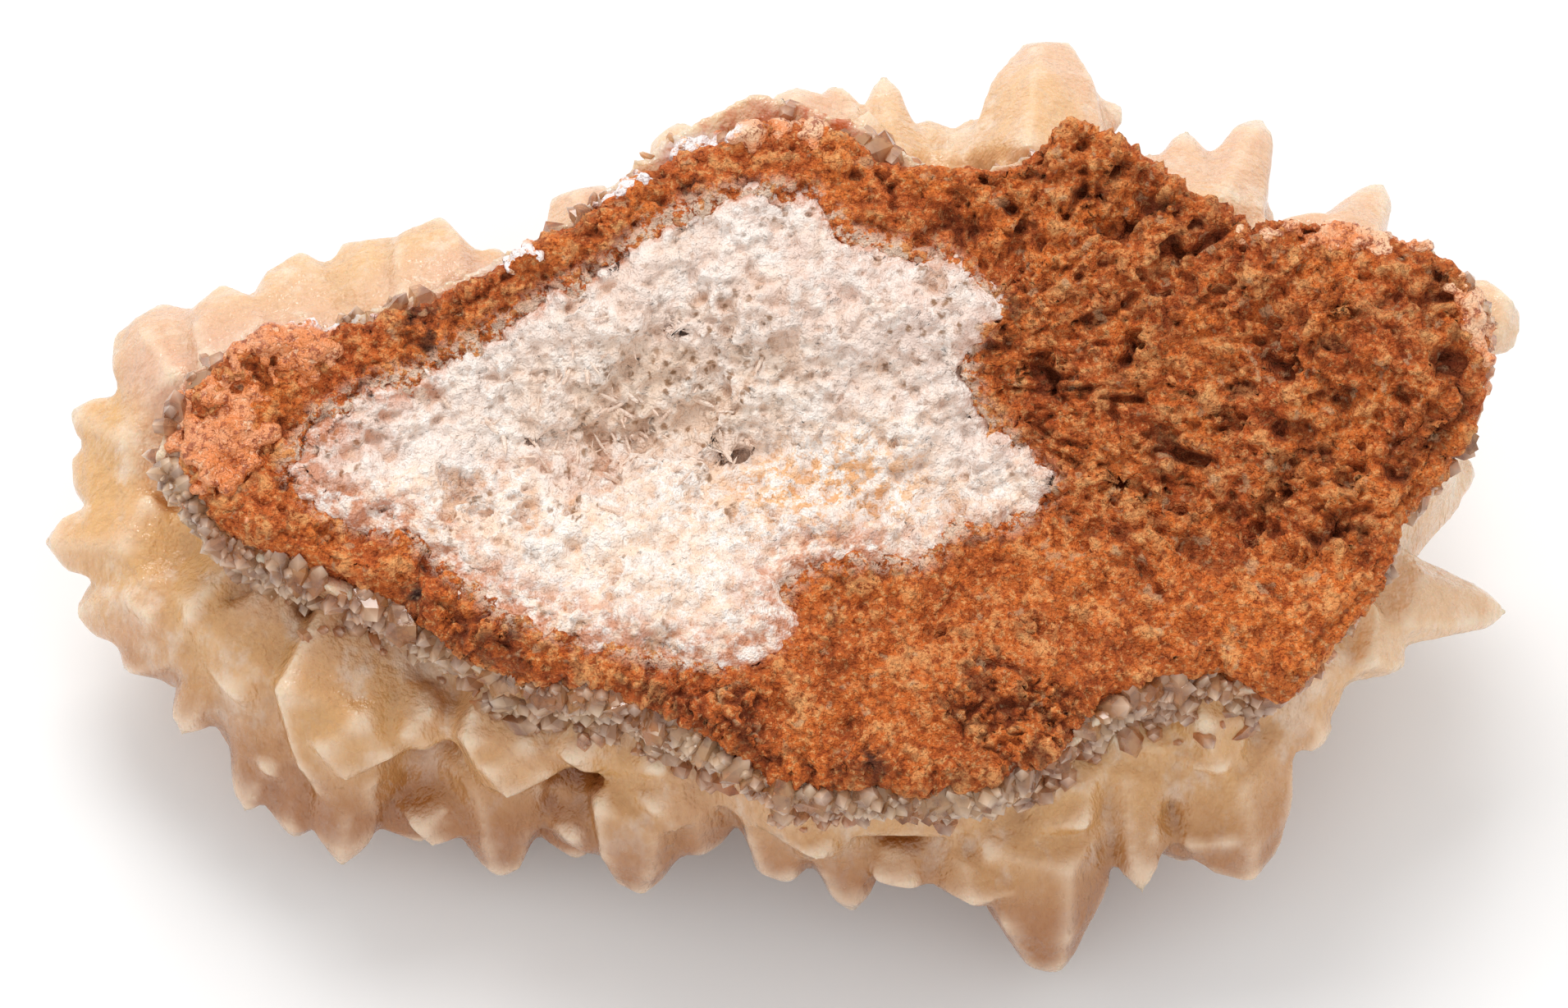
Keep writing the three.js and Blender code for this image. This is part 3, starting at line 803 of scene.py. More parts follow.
    def blend(self, share: object, first: object, second: object) -> bpy.types.NodeSocket:
        """Blend from one colour to another.

        Args:
            share: How much of the second, from 0 to 1.
            first: The first colour.
            second: The second colour.

        Returns:
            The blended colour.
        """
        node = self.tree.nodes.new("ShaderNodeMix")
        node.data_type = "RGBA"
        self.put(node.inputs["Factor"], share)
        self.put(node.inputs[self.FIRST_COLOUR], first)
        self.put(node.inputs[self.SECOND_COLOUR], second)
        return node.outputs[self.MIXED_COLOUR]

    def bump(
        self, height: object, depth: float, under: bpy.types.NodeSocket | None = None
    ) -> bpy.types.NodeSocket:
        """Turn a height into a bumpy normal.

        Args:
            height: The height, from 0 to 1.
            depth: What a height of 1 stands for, in millimetres.
            under: A normal that this one is laid over.

        Returns:
            The normal.
        """
        node = self.tree.nodes.new("ShaderNodeBump")
        node.inputs["Strength"].default_value = 1.0
        node.inputs["Distance"].default_value = depth * MM
        self.put(node.inputs["Height"], height)
        if under is not None:
            self.put(node.inputs["Normal"], under)
        return node.outputs["Normal"]


@dataclass(frozen=True)
class HoneyCalcite:
    """Waxy, milky crystal, peach on the left and honey on the right, with white veils and rusty stains."""

    peach: Colour = srgb(237, 187, 152)
    honey: Colour = srgb(238, 187, 124)
    milk: Colour = srgb(254, 228, 200)
    amber: Colour = srgb(158, 86, 16)
    rust: Colour = srgb(202, 104, 50)
    chalk: Colour = srgb(252, 244, 242)
    glow_depth: float = 1.4
    clearness: float = 0.12

    def material(self) -> bpy.types.Material:
        """Build the material.

        Returns:
            The new material.
        """
        shader = Shader("honey calcite")
        warmth = shader.noise(16, 2)
        tone = shader.blend(shader.between(warmth, 0.42, 0.6), self.peach, self.honey)
        # The crystals' own honey tint, weakened on the far teeth by painted light that pales them.
        tone = shader.blend(shader.mark("honey"), tone, self.honey)
        veils = shader.between(shader.noise(3.2, 4, 0.65, shader.stretched((1.0, 1.0, 0.45))), 0.5, 0.68)
        tone = shader.blend(shader.times(veils, 0.8), tone, self.milk)
        growth = shader.between(shader.noise(1.1, 3, 0.6, shader.stretched((2.2, 2.2, 0.35))), 0.35, 0.7)
        tone = shader.blend(shader.times(growth, 0.16), tone, self.amber)
        # Painted shade: amber darkens the crystals in hollows, between one another and low on the near side.
        tone = shader.blend(shader.times(shader.mark("hollow"), 0.85), tone, self.amber)
        # Painted highlight: milk lightens open ridges, the far teeth and the right tooth.
        tone = shader.blend(shader.times(shader.mark("edge"), 0.75), tone, self.milk)
        patchy = shader.between(shader.noise(1.6, 3, 0.65), 0.4, 0.6)
        tone = shader.blend(shader.times(shader.mark("rust"), patchy), tone, self.rust)
        chalky = shader.between(shader.noise(1.2, 2), 0.38, 0.52)
        tone = shader.blend(shader.times(shader.mark("chalk"), chalky), tone, self.chalk)
        facets = shader.bump(shader.specks(1.9, shader.stretched((1.0, 1.0, 0.7))), 0.28)
        ripple = shader.bump(shader.noise(0.9, 2, 0.6, shader.stretched((2.0, 2.0, 0.6))), 0.22, facets)
        pitted = shader.bump(shader.noise(0.3, 1, 0.6), 0.03, ripple)
        shader.dress(
            Base_Color=tone,
            Roughness=shader.between(shader.noise(1.8, 2), 0.35, 0.7, 0.08, 0.32),
            IOR=CALCITE_IOR,
            Subsurface_Weight=0.4,
            Subsurface_Radius=(1.0, 0.66, 0.42),
            Subsurface_Scale=self.glow_depth * MM,
            Transmission_Weight=self.clearness,
            Normal=pitted,
        )
        return shader.material


@dataclass(frozen=True)
class ClearDruse:
    """Small glassy crystals, faintly smoky and honey, their tips whitened by painted glow."""

    glass: Colour = srgb(252, 202, 148)
    honey: Colour = srgb(237, 163, 100)
    smoke: Colour = srgb(173, 102, 53)
    painted_glow: Colour = srgb(255, 240, 222)

    def material(self) -> bpy.types.Material:
        """Build the material.

        Returns:
            The new material.
        """
        shader = Shader("clear druse")
        tone = shader.blend(shader.between(shader.noise(5, 2), 0.4, 0.6), self.glass, self.honey)
        tone = shader.blend(shader.between(shader.noise(1.2, 3), 0.42, 0.66, 0.0, 0.8), tone, self.smoke)
        tips = shader.mark("tip")
        # Painted glow: the tips, and less so the shoulders, are painted whiter.
        tone = shader.blend(shader.times(tips, 0.6), tone, self.painted_glow)
        shader.dress(
            Base_Color=tone,
            Roughness=shader.between(shader.noise(0.8, 3), 0.4, 0.7, 0.02, 0.2),
            IOR=CALCITE_IOR,
            Transmission_Weight=shader.between(tips, 0.2, 1.0, 0.65, 0.35),
        )
        return shader.material


@dataclass(frozen=True)
class RustyRock:
    """Rough, porous rock stained by iron, from orange crests to red-brown pits darkened by painted shade."""

    rust: Colour = srgb(208, 104, 45)
    orange: Colour = srgb(228, 122, 50)
    brown: Colour = srgb(160, 68, 26)
    dark: Colour = srgb(96, 36, 14)
    tan: Colour = srgb(240, 178, 114)
    soot: Colour = srgb(44, 32, 28)
    grey: Colour = srgb(202, 168, 130)
    pale: Colour = srgb(232, 202, 178)

    def material(self) -> bpy.types.Material:
        """Build the material.

        Returns:
            The new material.
        """
        shader = Shader("rusty rock")
        patches = shader.between(shader.noise(4.5, 3, 0.6), 0.38, 0.62)
        tone = shader.blend(patches, self.rust, self.orange)
        # Painted light: the plain near half, right of the middle, is painted a brighter orange.
        tone = shader.blend(shader.times(shader.mark("painted_light"), 0.5), tone, self.orange)
        tone = shader.blend(shader.times(shader.mark("streak"), 0.5), tone, self.tan)
        tone = shader.blend(shader.times(shader.mark("shade"), 0.6), tone, self.brown)
        tone = shader.blend(shader.times(shader.mark("crest"), 0.55), tone, self.tan)
        fine = shader.noise(0.42, 2, 0.8)
        tone = shader.blend(shader.between(fine, 0.53, 0.68, 0.0, 0.75), tone, self.tan)
        tone = shader.blend(shader.between(fine, 0.47, 0.34, 0.0, 0.85), tone, self.brown)
        crumbs = shader.specks(0.5)
        tone = shader.blend(shader.between(crumbs, 0.52, 0.8, 0.0, 0.4), tone, self.dark)
        # Painted shade: pits and cracks are darkened.
        tone = shader.blend(shader.times(shader.mark("hollow"), 0.85), tone, self.dark)
        tone = shader.blend(shader.times(shader.mark("black"), 0.9), tone, self.soot)
        clear = shader.between(shader.noise(1.3, 2, 0.6), 0.62, 0.7)
        tone = shader.blend(shader.times(clear, 0.5), tone, self.grey)
        mixed = shader.between(shader.noise(0.8, 3, 0.75), 0.44, 0.55)
        tone = shader.blend(shader.times(shader.mark("pale"), mixed), tone, self.pale)
        grains = shader.bump(shader.noise(0.5, 2, 0.85), 0.6)
        shader.dress(
            Base_Color=tone,
            Roughness=shader.between(fine, 0.3, 0.7, 0.95, 0.7),
            IOR=1.5,
            Specular_IOR_Level=0.3,
            Normal=grains,
        )
        return shader.material


@dataclass(frozen=True)
class WhiteCalcite:
    """Sugary, spongy white calcite, greyer and clearer on the far side, with peach stains in its pits."""

    white: Colour = srgb(255, 246, 238)
    cream: Colour = srgb(255, 232, 214)
    grey: Colour = srgb(243, 217, 203)
    olive: Colour = srgb(236, 206, 178)
    shade: Colour = srgb(196, 146, 110)
    pore: Colour = srgb(150, 106, 68)
    peach: Colour = srgb(248, 190, 136)
    rust: Colour = srgb(204, 120, 70)

    def material(self) -> bpy.types.Material:
        """Build the material.

        Returns:
            The new material.
        """
        shader = Shader("white calcite")
        patches = shader.between(shader.noise(2.6, 4, 0.7), 0.42, 0.6)
        tone = shader.blend(shader.times(patches, 0.75), self.white, self.cream)
        clear = shader.between(shader.noise(2.0, 3, 0.7), 0.38, 0.56, 0.35, 1.0)
        tone = shader.blend(shader.times(shader.mark("grey"), clear), tone, self.grey)
        stained = shader.between(shader.noise(0.9, 3, 0.75), 0.44, 0.58)
        tone = shader.blend(shader.times(shader.mark("peach"), stained), tone, self.peach)
        # Painted shade: the hollow in the grey half is painted olive.
        tone = shader.blend(shader.times(shader.mark("cave"), 0.65), tone, self.olive)
        tone = shader.blend(shader.times(shader.mark("hollow"), 0.6), tone, self.shade)
        tone = shader.blend(shader.times(shader.mark("crest"), 0.45), tone, self.white)
        pores = shader.between(shader.noise(0.45, 1, 0.6), 0.4, 0.3)
        tone = shader.blend(shader.times(pores, 0.35), tone, self.shade)
        # Painted shade: small dark pores are painted on the surface.
        holes = shader.between(shader.specks(0.85, shader.warped(0.5, 0.7)), 0.4, 0.14)
        holes = shader.times(holes, shader.mark("pores"))
        tone = shader.blend(shader.times(holes, 0.9), tone, self.pore)
        rusty = shader.between(shader.noise(1.1, 3, 0.7), 0.4, 0.62)
        tone = shader.blend(shader.times(shader.mark("rust"), rusty), tone, self.rust)
        grains = shader.bump(shader.noise(0.5, 2, 0.85), 0.34)
        shader.dress(
            Base_Color=tone,
            Roughness=shader.between(patches, 0.0, 1.0, 0.35, 0.65),
            IOR=CALCITE_IOR,
            Normal=grains,
        )
        return shader.material


@dataclass(frozen=True)
class RustyCalcite:
    """Waxy calcite stained orange and brown by the rock."""

    orange: Colour = srgb(236, 140, 78)
    brown: Colour = srgb(160, 70, 28)
    pink: Colour = srgb(252, 200, 158)
    chalk: Colour = srgb(255, 246, 244)

    def material(self) -> bpy.types.Material:
        """Build the material.

        Returns:
            The new material.
        """
        shader = Shader("rusty calcite")
        tone = shader.blend(shader.between(shader.noise(2.2, 4, 0.6), 0.42, 0.6), self.orange, self.pink)
        tone = shader.blend(shader.times(shader.mark("rust"), 0.75), tone, self.orange)
        tone = shader.blend(shader.between(shader.noise(0.7, 3, 0.8), 0.5, 0.62, 0.0, 0.85), tone, self.brown)
        tone = shader.blend(shader.between(shader.noise(0.5, 2, 0.75), 0.42, 0.34, 0.0, 0.7), tone, self.pink)
        patchy = shader.between(shader.noise(0.9, 3, 0.7), 0.36, 0.48)
        tone = shader.blend(shader.times(shader.mark("chalk"), patchy), tone, self.chalk)
        shader.dress(
            Base_Color=tone,
            Roughness=shader.between(shader.noise(0.8, 3), 0.4, 0.7, 0.18, 0.5),
            IOR=CALCITE_IOR,
            Normal=shader.bump(shader.noise(0.5, 2, 0.8), 0.5),
        )
        return shader.material


@dataclass(frozen=True)
class PalePaper:
    """The plain pale floor."""

    white: Colour = (0.93, 0.93, 0.93, 1.0)
    whiter: Colour = (0.94, 0.94, 0.94, 1.0)

    def material(self) -> bpy.types.Material:
        """Build the material.

        Returns:
            The new material.
        """
        shader = Shader("pale paper")
        faint = shader.blend(shader.between(shader.noise(30, 2), 0.3, 0.7), self.white, self.whiter)
        shader.dress(Base_Color=faint, Roughness=0.9, Specular_IOR_Level=0.1)
        return shader.material


@dataclass
class Piece:
    """One piece of the specimen: a skin, a finish, and what it stands for in the frame."""

    name: str
    slot: Slot
    finish: Callable[[], bpy.types.Material]
    replaces: Node | None = None
    flat_faces: bool = False
    most_triangles: int = 190000

    def place(self, skin: Skin) -> bpy.types.Object:
        """Put a skin into the scene as this piece.

        Args:
            skin: Its surface in millimetres.

        Returns:
            The new object, riding on the specimen's body.
        """
        skin.kept_in_box()
        mesh = skin.mesh(self.name, MM)
        if self.flat_faces:
            mesh.shade_flat()
        else:
            mesh.shade_smooth()
        mesh.materials.append(self.finish())
        made = linked(self.name, mesh)
        self.slim(made)
        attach(made, BODY)
        if self.replaces is not None:
            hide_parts(self.replaces.value)
        log.info("%s: %d triangles", self.name, triangle_count(made.data))
        return made

    def slim(self, made: bpy.types.Object) -> None:
        """Thin out a mesh that has too many faces, first where it is flattest.

        Args:
            made: The piece's object.
        """
        triangles = triangle_count(made.data)
        if triangles <= self.most_triangles:
            return
        thinning = made.modifiers.new("Thinning", "DECIMATE")
        thinning.ratio = self.most_triangles / triangles
        graph = bpy.context.evaluated_depsgraph_get()
        shape = made.evaluated_get(graph)
        thinned = bpy.data.meshes.new_from_object(shape, preserve_all_data_layers=True, depsgraph=graph)
        made.modifiers.remove(thinning)
        made.data = thinned


@dataclass(frozen=True)
class Chalk:
    """Where white chalky strips lie along the rock's far edge, at the upper left."""

    strips: tuple[tuple[float, float, float], ...] = (
        (-28.7, 5.0, 3.2), (-16.4, 7.6, 1.8), (-9.3, 12.3, 1.8), (-4.8, 15.6, 2.3),
    )
    half_width: float = 1.0

    def over(self, x: np.ndarray, y: np.ndarray) -> np.ndarray:
        """Mark the strips.

        Args:
            x: Places along the specimen in millimetres.
            y: Places across it.

        Returns:
            0 away from the strips, rising to 1 along their middles.
        """
        strips = [spot(x, y, (cx, cy), (reach, self.half_width)) for cx, cy, reach in self.strips]
        return np.max(strips, axis=0)


@dataclass
class Rock:
    """The rusty rock: crests and pits over the whole back, honeycombed at the upper right."""

    voxel: float = 0.21
    swell: float = 0.15
    side_swell: float = 0.45
    lump: float = 0.42
    crumb: float = 0.3
    grain: float = 0.13
    crack: float = 0.4
    big_pit: float = 1.2
    pit: float = 0.8
    small_pit: float = 0.5
    # the line between the plain near half and the honeycombed far half
    crease_x: tuple[float, ...] = (-8.0, 12.0, 22.0, 45.0)
    crease_y: tuple[float, ...] = (-9.0, -2.0, -9.0, -11.0)
    fibre_from: tuple[float, float] = (10.3, 0.3)
    fibre_ratio: tuple[float, float, float] = (0.45, 18.0, 0.8)
    fibre_depth: float = 0.26
    black_spots: tuple[tuple[float, float, float], ...] = (
        (-21.9, 3.9, 1.6), (-22.1, -12.6, 0.8), (13.9, 4.8, 1.2), (5.9, -23.2, 1.0), (-5.2, 12.0, 0.8),
    )

    def fanned(self, points: np.ndarray) -> np.ndarray:
        """Give coordinates that fan out to the right from a point on the core's edge.

        Args:
            points: Places in millimetres.

        Returns:
            Places whose first axis runs along the fibres, drawn out to about twice their width.
        """
        away = points[:, :2] - np.array(self.fibre_from)
        reach = np.hypot(away[:, 0], away[:, 1])
        angle = np.arctan2(away[:, 1], away[:, 0])
        return np.stack([reach, angle, points[:, 2]], axis=1) * self.fibre_ratio

    def build(self, core: BVHTree) -> Skin:
        """Build the rock.

        Args:
            core: The white core's search tree.

        Returns:
            Its finished skin.
        """
        skin = Skin.of_node(Node.ROCK).skinned(self.voxel)
        skin.corners = skin.averaged(skin.corners, rounds=2)
        start = skin.corners.copy()
        outward = skin.normals()
        x, y = start[:, 0], start[:, 1]
        up = smooth_step(outward[:, 2], -0.1, 0.5)
        crease = np.interp(x, self.crease_x, self.crease_y)
        far = smooth_step(y - crease, -3, 3)
        right = smooth_step(x, 8, 20)
        comb = 0.35 + 0.65 * far * smooth_step(x, 4, 16)
        open_side = smooth_step(outward[:, 2], -0.75, -0.25)
        lumps = Grain.rough(start, size=6, seed=11, octaves=3, fade=0.55)
        crumbs = Grain.rough(start, size=1.3, seed=21, octaves=4, fade=0.78)
        sway = np.stack([crumbs, lumps, crumbs], axis=1)
        wide = Grain.pits(start + 0.6 * sway, size=2.6, seed=31, share=0.3) * comb
        fan = self.fanned(start)
        middling = Grain.sponge(start + 0.3 * sway, size=1.5, seed=33, low=0.22, high=0.7) * comb
        drawn_out = Grain.sponge(fan, size=1.1, seed=43) * right * (0.3 + 0.7 * far)
        middling = np.maximum(middling * (1 - 0.6 * right), drawn_out)
        narrow = Grain.sponge(start, size=0.8, seed=35) * (0.4 + 0.6 * far)
        rim = smooth_step(-y, 8, 16) * smooth_step(-x - y * 0.3, -24, -10)
        cracks = Grain.cracks(start + 0.6 * sway, size=1.9, seed=37, width=0.36)
        cracks *= smooth_step(lumps, -0.1, 0.35) * (0.35 + 0.65 * rim)
        blocks = Grain.grains(start + 0.3 * sway, size=1.2, seed=45)
        blocks += 0.7 * Grain.grains(start + 0.2 * sway, size=0.6, seed=47)
        fibres = Grain.rough(fan, size=0.5, seed=41, octaves=3, fade=0.6) * right * (0.35 + 0.65 * far)
        height = self.lump * lumps + self.fibre_depth * fibres
        height += (self.crumb * crumbs + self.grain * blocks) * (0.65 + 0.35 * comb)
        height -= (self.big_pit * wide + self.pit * middling + self.small_pit * narrow) * up
        height = self.swell + self.side_swell * (1 - up) + (height - self.crack * cracks) * open_side
        skin.corners = start + outward * height[:, None]
        near_core = skin.distance_to(core, limit=4.0)
        black = np.zeros(len(x))
        for cx, cy, reach in self.black_spots:
            black = np.maximum(black, spot(x, y, (cx, cy), (reach, reach)))
        # Painted shade for the pits and cracks, lighter on crumbs and grains.
        hollow = 0.7 * wide**1.2 + 0.7 * middling**1.2 + 0.55 * narrow**1.3 - 0.25 * crumbs - 0.12 * blocks
        skin.marks = {
            "hollow": np.clip(np.clip(hollow, 0, 1) * up + 0.8 * cracks, 0, 1),
            "shade": np.clip(0.15 * far * right + 0.35 * rim + 0.55 * smooth_step(-crumbs, 0.0, 0.9), 0, 1),
            "crest": smooth_step(crumbs + 0.5 * blocks - 1.2 * narrow - middling, 0.15, 1.0),
            # Painted light brightens the plain near half, right of the middle.
            "painted_light": (1 - far) * smooth_step(x, -6, 4),
            "streak": smooth_step(fibres, 0.15, 0.9),
            "black": black * smooth_step(-crumbs - 0.4 * lumps, -0.15, 0.35),
            "pale": smooth_step(-near_core, -1.9, -0.2),
        }
        piece = Piece("rusty_rock", Slot.ROCK, RustyRock().material, Node.ROCK)
        piece.place(skin)
        return skin


@dataclass
class Core:
    """The white core: a sponge of sugary grains, with a shaded hollow in its grey upper half."""

    voxel: float = 0.21
    swell: float = 0.2
    spread: float = 1.5
    lump: float = 0.5
    crumb: float = 0.26
    grain: float = 0.13
    pit: float = 0.8
    small_pit: float = 0.48
    # the line between the white near half and the grey far half
    divide_x: tuple[float, ...] = (-30.0, -20.0, -12.0, -7.0, 0.0, 8.0, 16.0)
    divide_y: tuple[float, ...] = (-6.0, -5.0, -4.8, -4.6, -2.6, -1.4, -1.0)
    hollow_at: tuple[float, float] = (-6.5, -0.4)
    hollow_reach: tuple[float, float] = (8.0, 4.0)
    hollow_depth: float = 0.5
    deepest: float = 0.4  # the most that relief takes away, as a share of the core's thickness
    slot_at: tuple[float, float] = (-17.6, -11.2)
    slot_reach: tuple[float, float] = (1.6, 0.9)
    ring_at: tuple[float, float] = (-7.1, -3.5)
    ring_floor: float = 0.4
    ring_wall: float = 0.62
    ring_radius: float = 0.75
    ring_width: float = 0.16
    ring_depth: float = 0.4
    ring_rise: float = 0.25
    peach_at: tuple[float, float] = (3.0, -5.5)
    peach_reach: tuple[float, float] = (6.0, 2.6)
    glassy_at: tuple[float, float] = (12.3, -2.6)
    glassy_reach: tuple[float, float] = (3.2, 2.6)

    def build(self, rock: BVHTree) -> Skin:
        """Build the core.

        Args:
            rock: The plain rock's search tree.

        Returns:
            Its finished skin.
        """
        skin = Skin.of_node(Node.CORE).skinned(self.voxel)
        skin.corners = skin.averaged(skin.corners, rounds=9)
        start = skin.corners.copy()
        outward = skin.normals()
        x, y = start[:, 0], start[:, 1]
        up = smooth_step(outward[:, 2], -0.1, 0.5)
        wander = Grain.rough(start, size=4, seed=51, octaves=3)
        divide = np.interp(x, self.divide_x, self.divide_y)
        far = smooth_step(y - divide + 1.6 * wander, -1.5, 1.5)
        cave = spot(x, y, self.hollow_at, self.hollow_reach) * far
        lumps = Grain.rough(start, size=4.5, seed=55, octaves=3, fade=0.6)
        crumbs = Grain.rough(start, size=1.1, seed=61, octaves=4, fade=0.7)
        sway = 0.35 * np.stack([crumbs, lumps, crumbs], axis=1)
        open_side = smooth_step(outward[:, 2], -0.4, 0.1)
        clusters = smooth_step(Grain.rough(start, size=5, seed=63, octaves=2), -0.25, 0.35)
        wide = Grain.pits(start + 2 * sway, size=2.1, seed=65, share=0.4) * (0.25 * clusters + 0.55 * cave)
        wide = np.maximum(wide, spot(x, y, self.slot_at, self.slot_reach))
        narrow = Grain.sponge(start, size=1.25, seed=71) * (0.35 + 0.65 * clusters)
        tiny = Grain.sponge(start, size=0.7, seed=75)
        blocks = Grain.grains(start + sway, size=1.3, seed=77)
        blocks += 0.7 * Grain.grains(start + sway, size=0.6, seed=79)
        height = self.lump * lumps + self.crumb * crumbs + self.grain * blocks
        height -= (self.pit * wide + self.small_pit * narrow + 0.25 * tiny + self.hollow_depth * cave) * up
        height = self.swell + height * open_side
        uneven = Grain.rough(start, size=2.4, seed=85, octaves=3, fade=0.6)
        spread = self.spread * np.clip(0.5 + 0.8 * uneven, 0, 1) * (1 - up)
        level = outward * [1, 1, 0]
        ring = np.hypot(x - self.ring_at[0], y - self.ring_at[1])
        height -= self.ring_depth * smooth_step(-ring, -self.ring_wall, -self.ring_floor) * up
        height += self.ring_rise * np.exp(-(((ring - self.ring_radius) / self.ring_width) ** 2)) * up
        height = np.maximum(height, -self.deepest * skin.averaged(skin.thickness(limit=4.0), rounds=6))
        skin.corners = start + outward * height[:, None] + level * spread[:, None]
        near_rock = skin.distance_to(rock, limit=4.0)
        patch = spot(x, y, self.peach_at, self.peach_reach)
        glassy = spot(x, y, self.glassy_at, self.glassy_reach)
        lower = smooth_step(-y - 0.2 * x, 2, 8)
        edge = smooth_step(-near_rock, -1.0 - 2.8 * lower, -0.1) * (0.85 - 0.5 * smooth_step(x, 6, 10))
        hollow = 0.8 * wide + 0.6 * narrow + 0.4 * tiny + 0.4 * cave * smooth_step(-crumbs, 0, 0.8)
        skin.marks = {
            "hollow": np.clip(hollow, 0, 1) * up,
            "grey": np.clip(far * (0.75 + 0.5 * wander) + 0.8 * glassy, 0, 1),
            # Painted shade for the hollow.
            "cave": np.clip(1.2 * cave * (0.7 + 0.6 * smooth_step(-crumbs, -0.3, 0.6)), 0, 1),
            "peach": np.clip(patch + 0.35 * (1 - far) + 0.3 * narrow, 0, 1) * (1 - glassy),
            "rust": np.clip(edge, 0, 1),
            "crest": smooth_step(crumbs + 0.5 * blocks, 0.2, 1.2),
            # Where dark pores are painted, mostly in clusters and the hollow.
            "pores": np.clip(clusters * smooth_step(wander, -0.4, 0.5) + 1.3 * cave, 0, 1) * up,
        }
        piece = Piece("sugary_core", Slot.CORE, WhiteCalcite().material, Node.CORE)
        piece.place(skin)
        return skin


@dataclass
class CaveBlades:
    """Thin calcite blades that stand about in the white core's hollow and beside it."""

    count: int = 90
    length: tuple[float, float] = (0.8, 2.0)
    slimness: tuple[float, float] = (0.1, 0.22)
    middle: tuple[float, float] = (-10.0, -1.6)
    reach: tuple[float, float] = (5.5, 2.8)
    scatter: float = 1.3
    rise: float = 0.6  # below 1, the blades lie flatter
    habit: Habit = Habit(blunt=0.8, sunk=0.35)
    seed: int = 41

    def build(self, core: Skin) -> bpy.types.Object:
        """Build the blades.

        Args:
            core: The finished core.

        Returns:
            The piece.
        """
        rng = np.random.default_rng(self.seed)
        x, y = core.corners[:, 0], core.corners[:, 1]
        weight = spot(x, y, self.middle, self.reach) * smooth_step(core.normals()[:, 2], 0.2, 0.7)
        roots, outward = core.scattered(self.count, weight, rng)
        axes = outward + self.scatter * rng.normal(size=roots.shape)
        axes[:, 2] = np.abs(axes[:, 2]) * self.rise
        lengths = rng.uniform(*self.length, self.count)
        widths = lengths * rng.uniform(*self.slimness, self.count)
        skin = self.habit.skin(roots, axes, lengths, widths)
        ones = np.ones(len(skin.corners))
        # The cave mark gives the blades the hollow's painted shade.
        skin.marks = {"grey": ones, "cave": 0.7 * ones}
        piece = Piece("cave_blades", Slot.CORE, WhiteCalcite().material, flat_faces=True)
        return piece.place(skin)


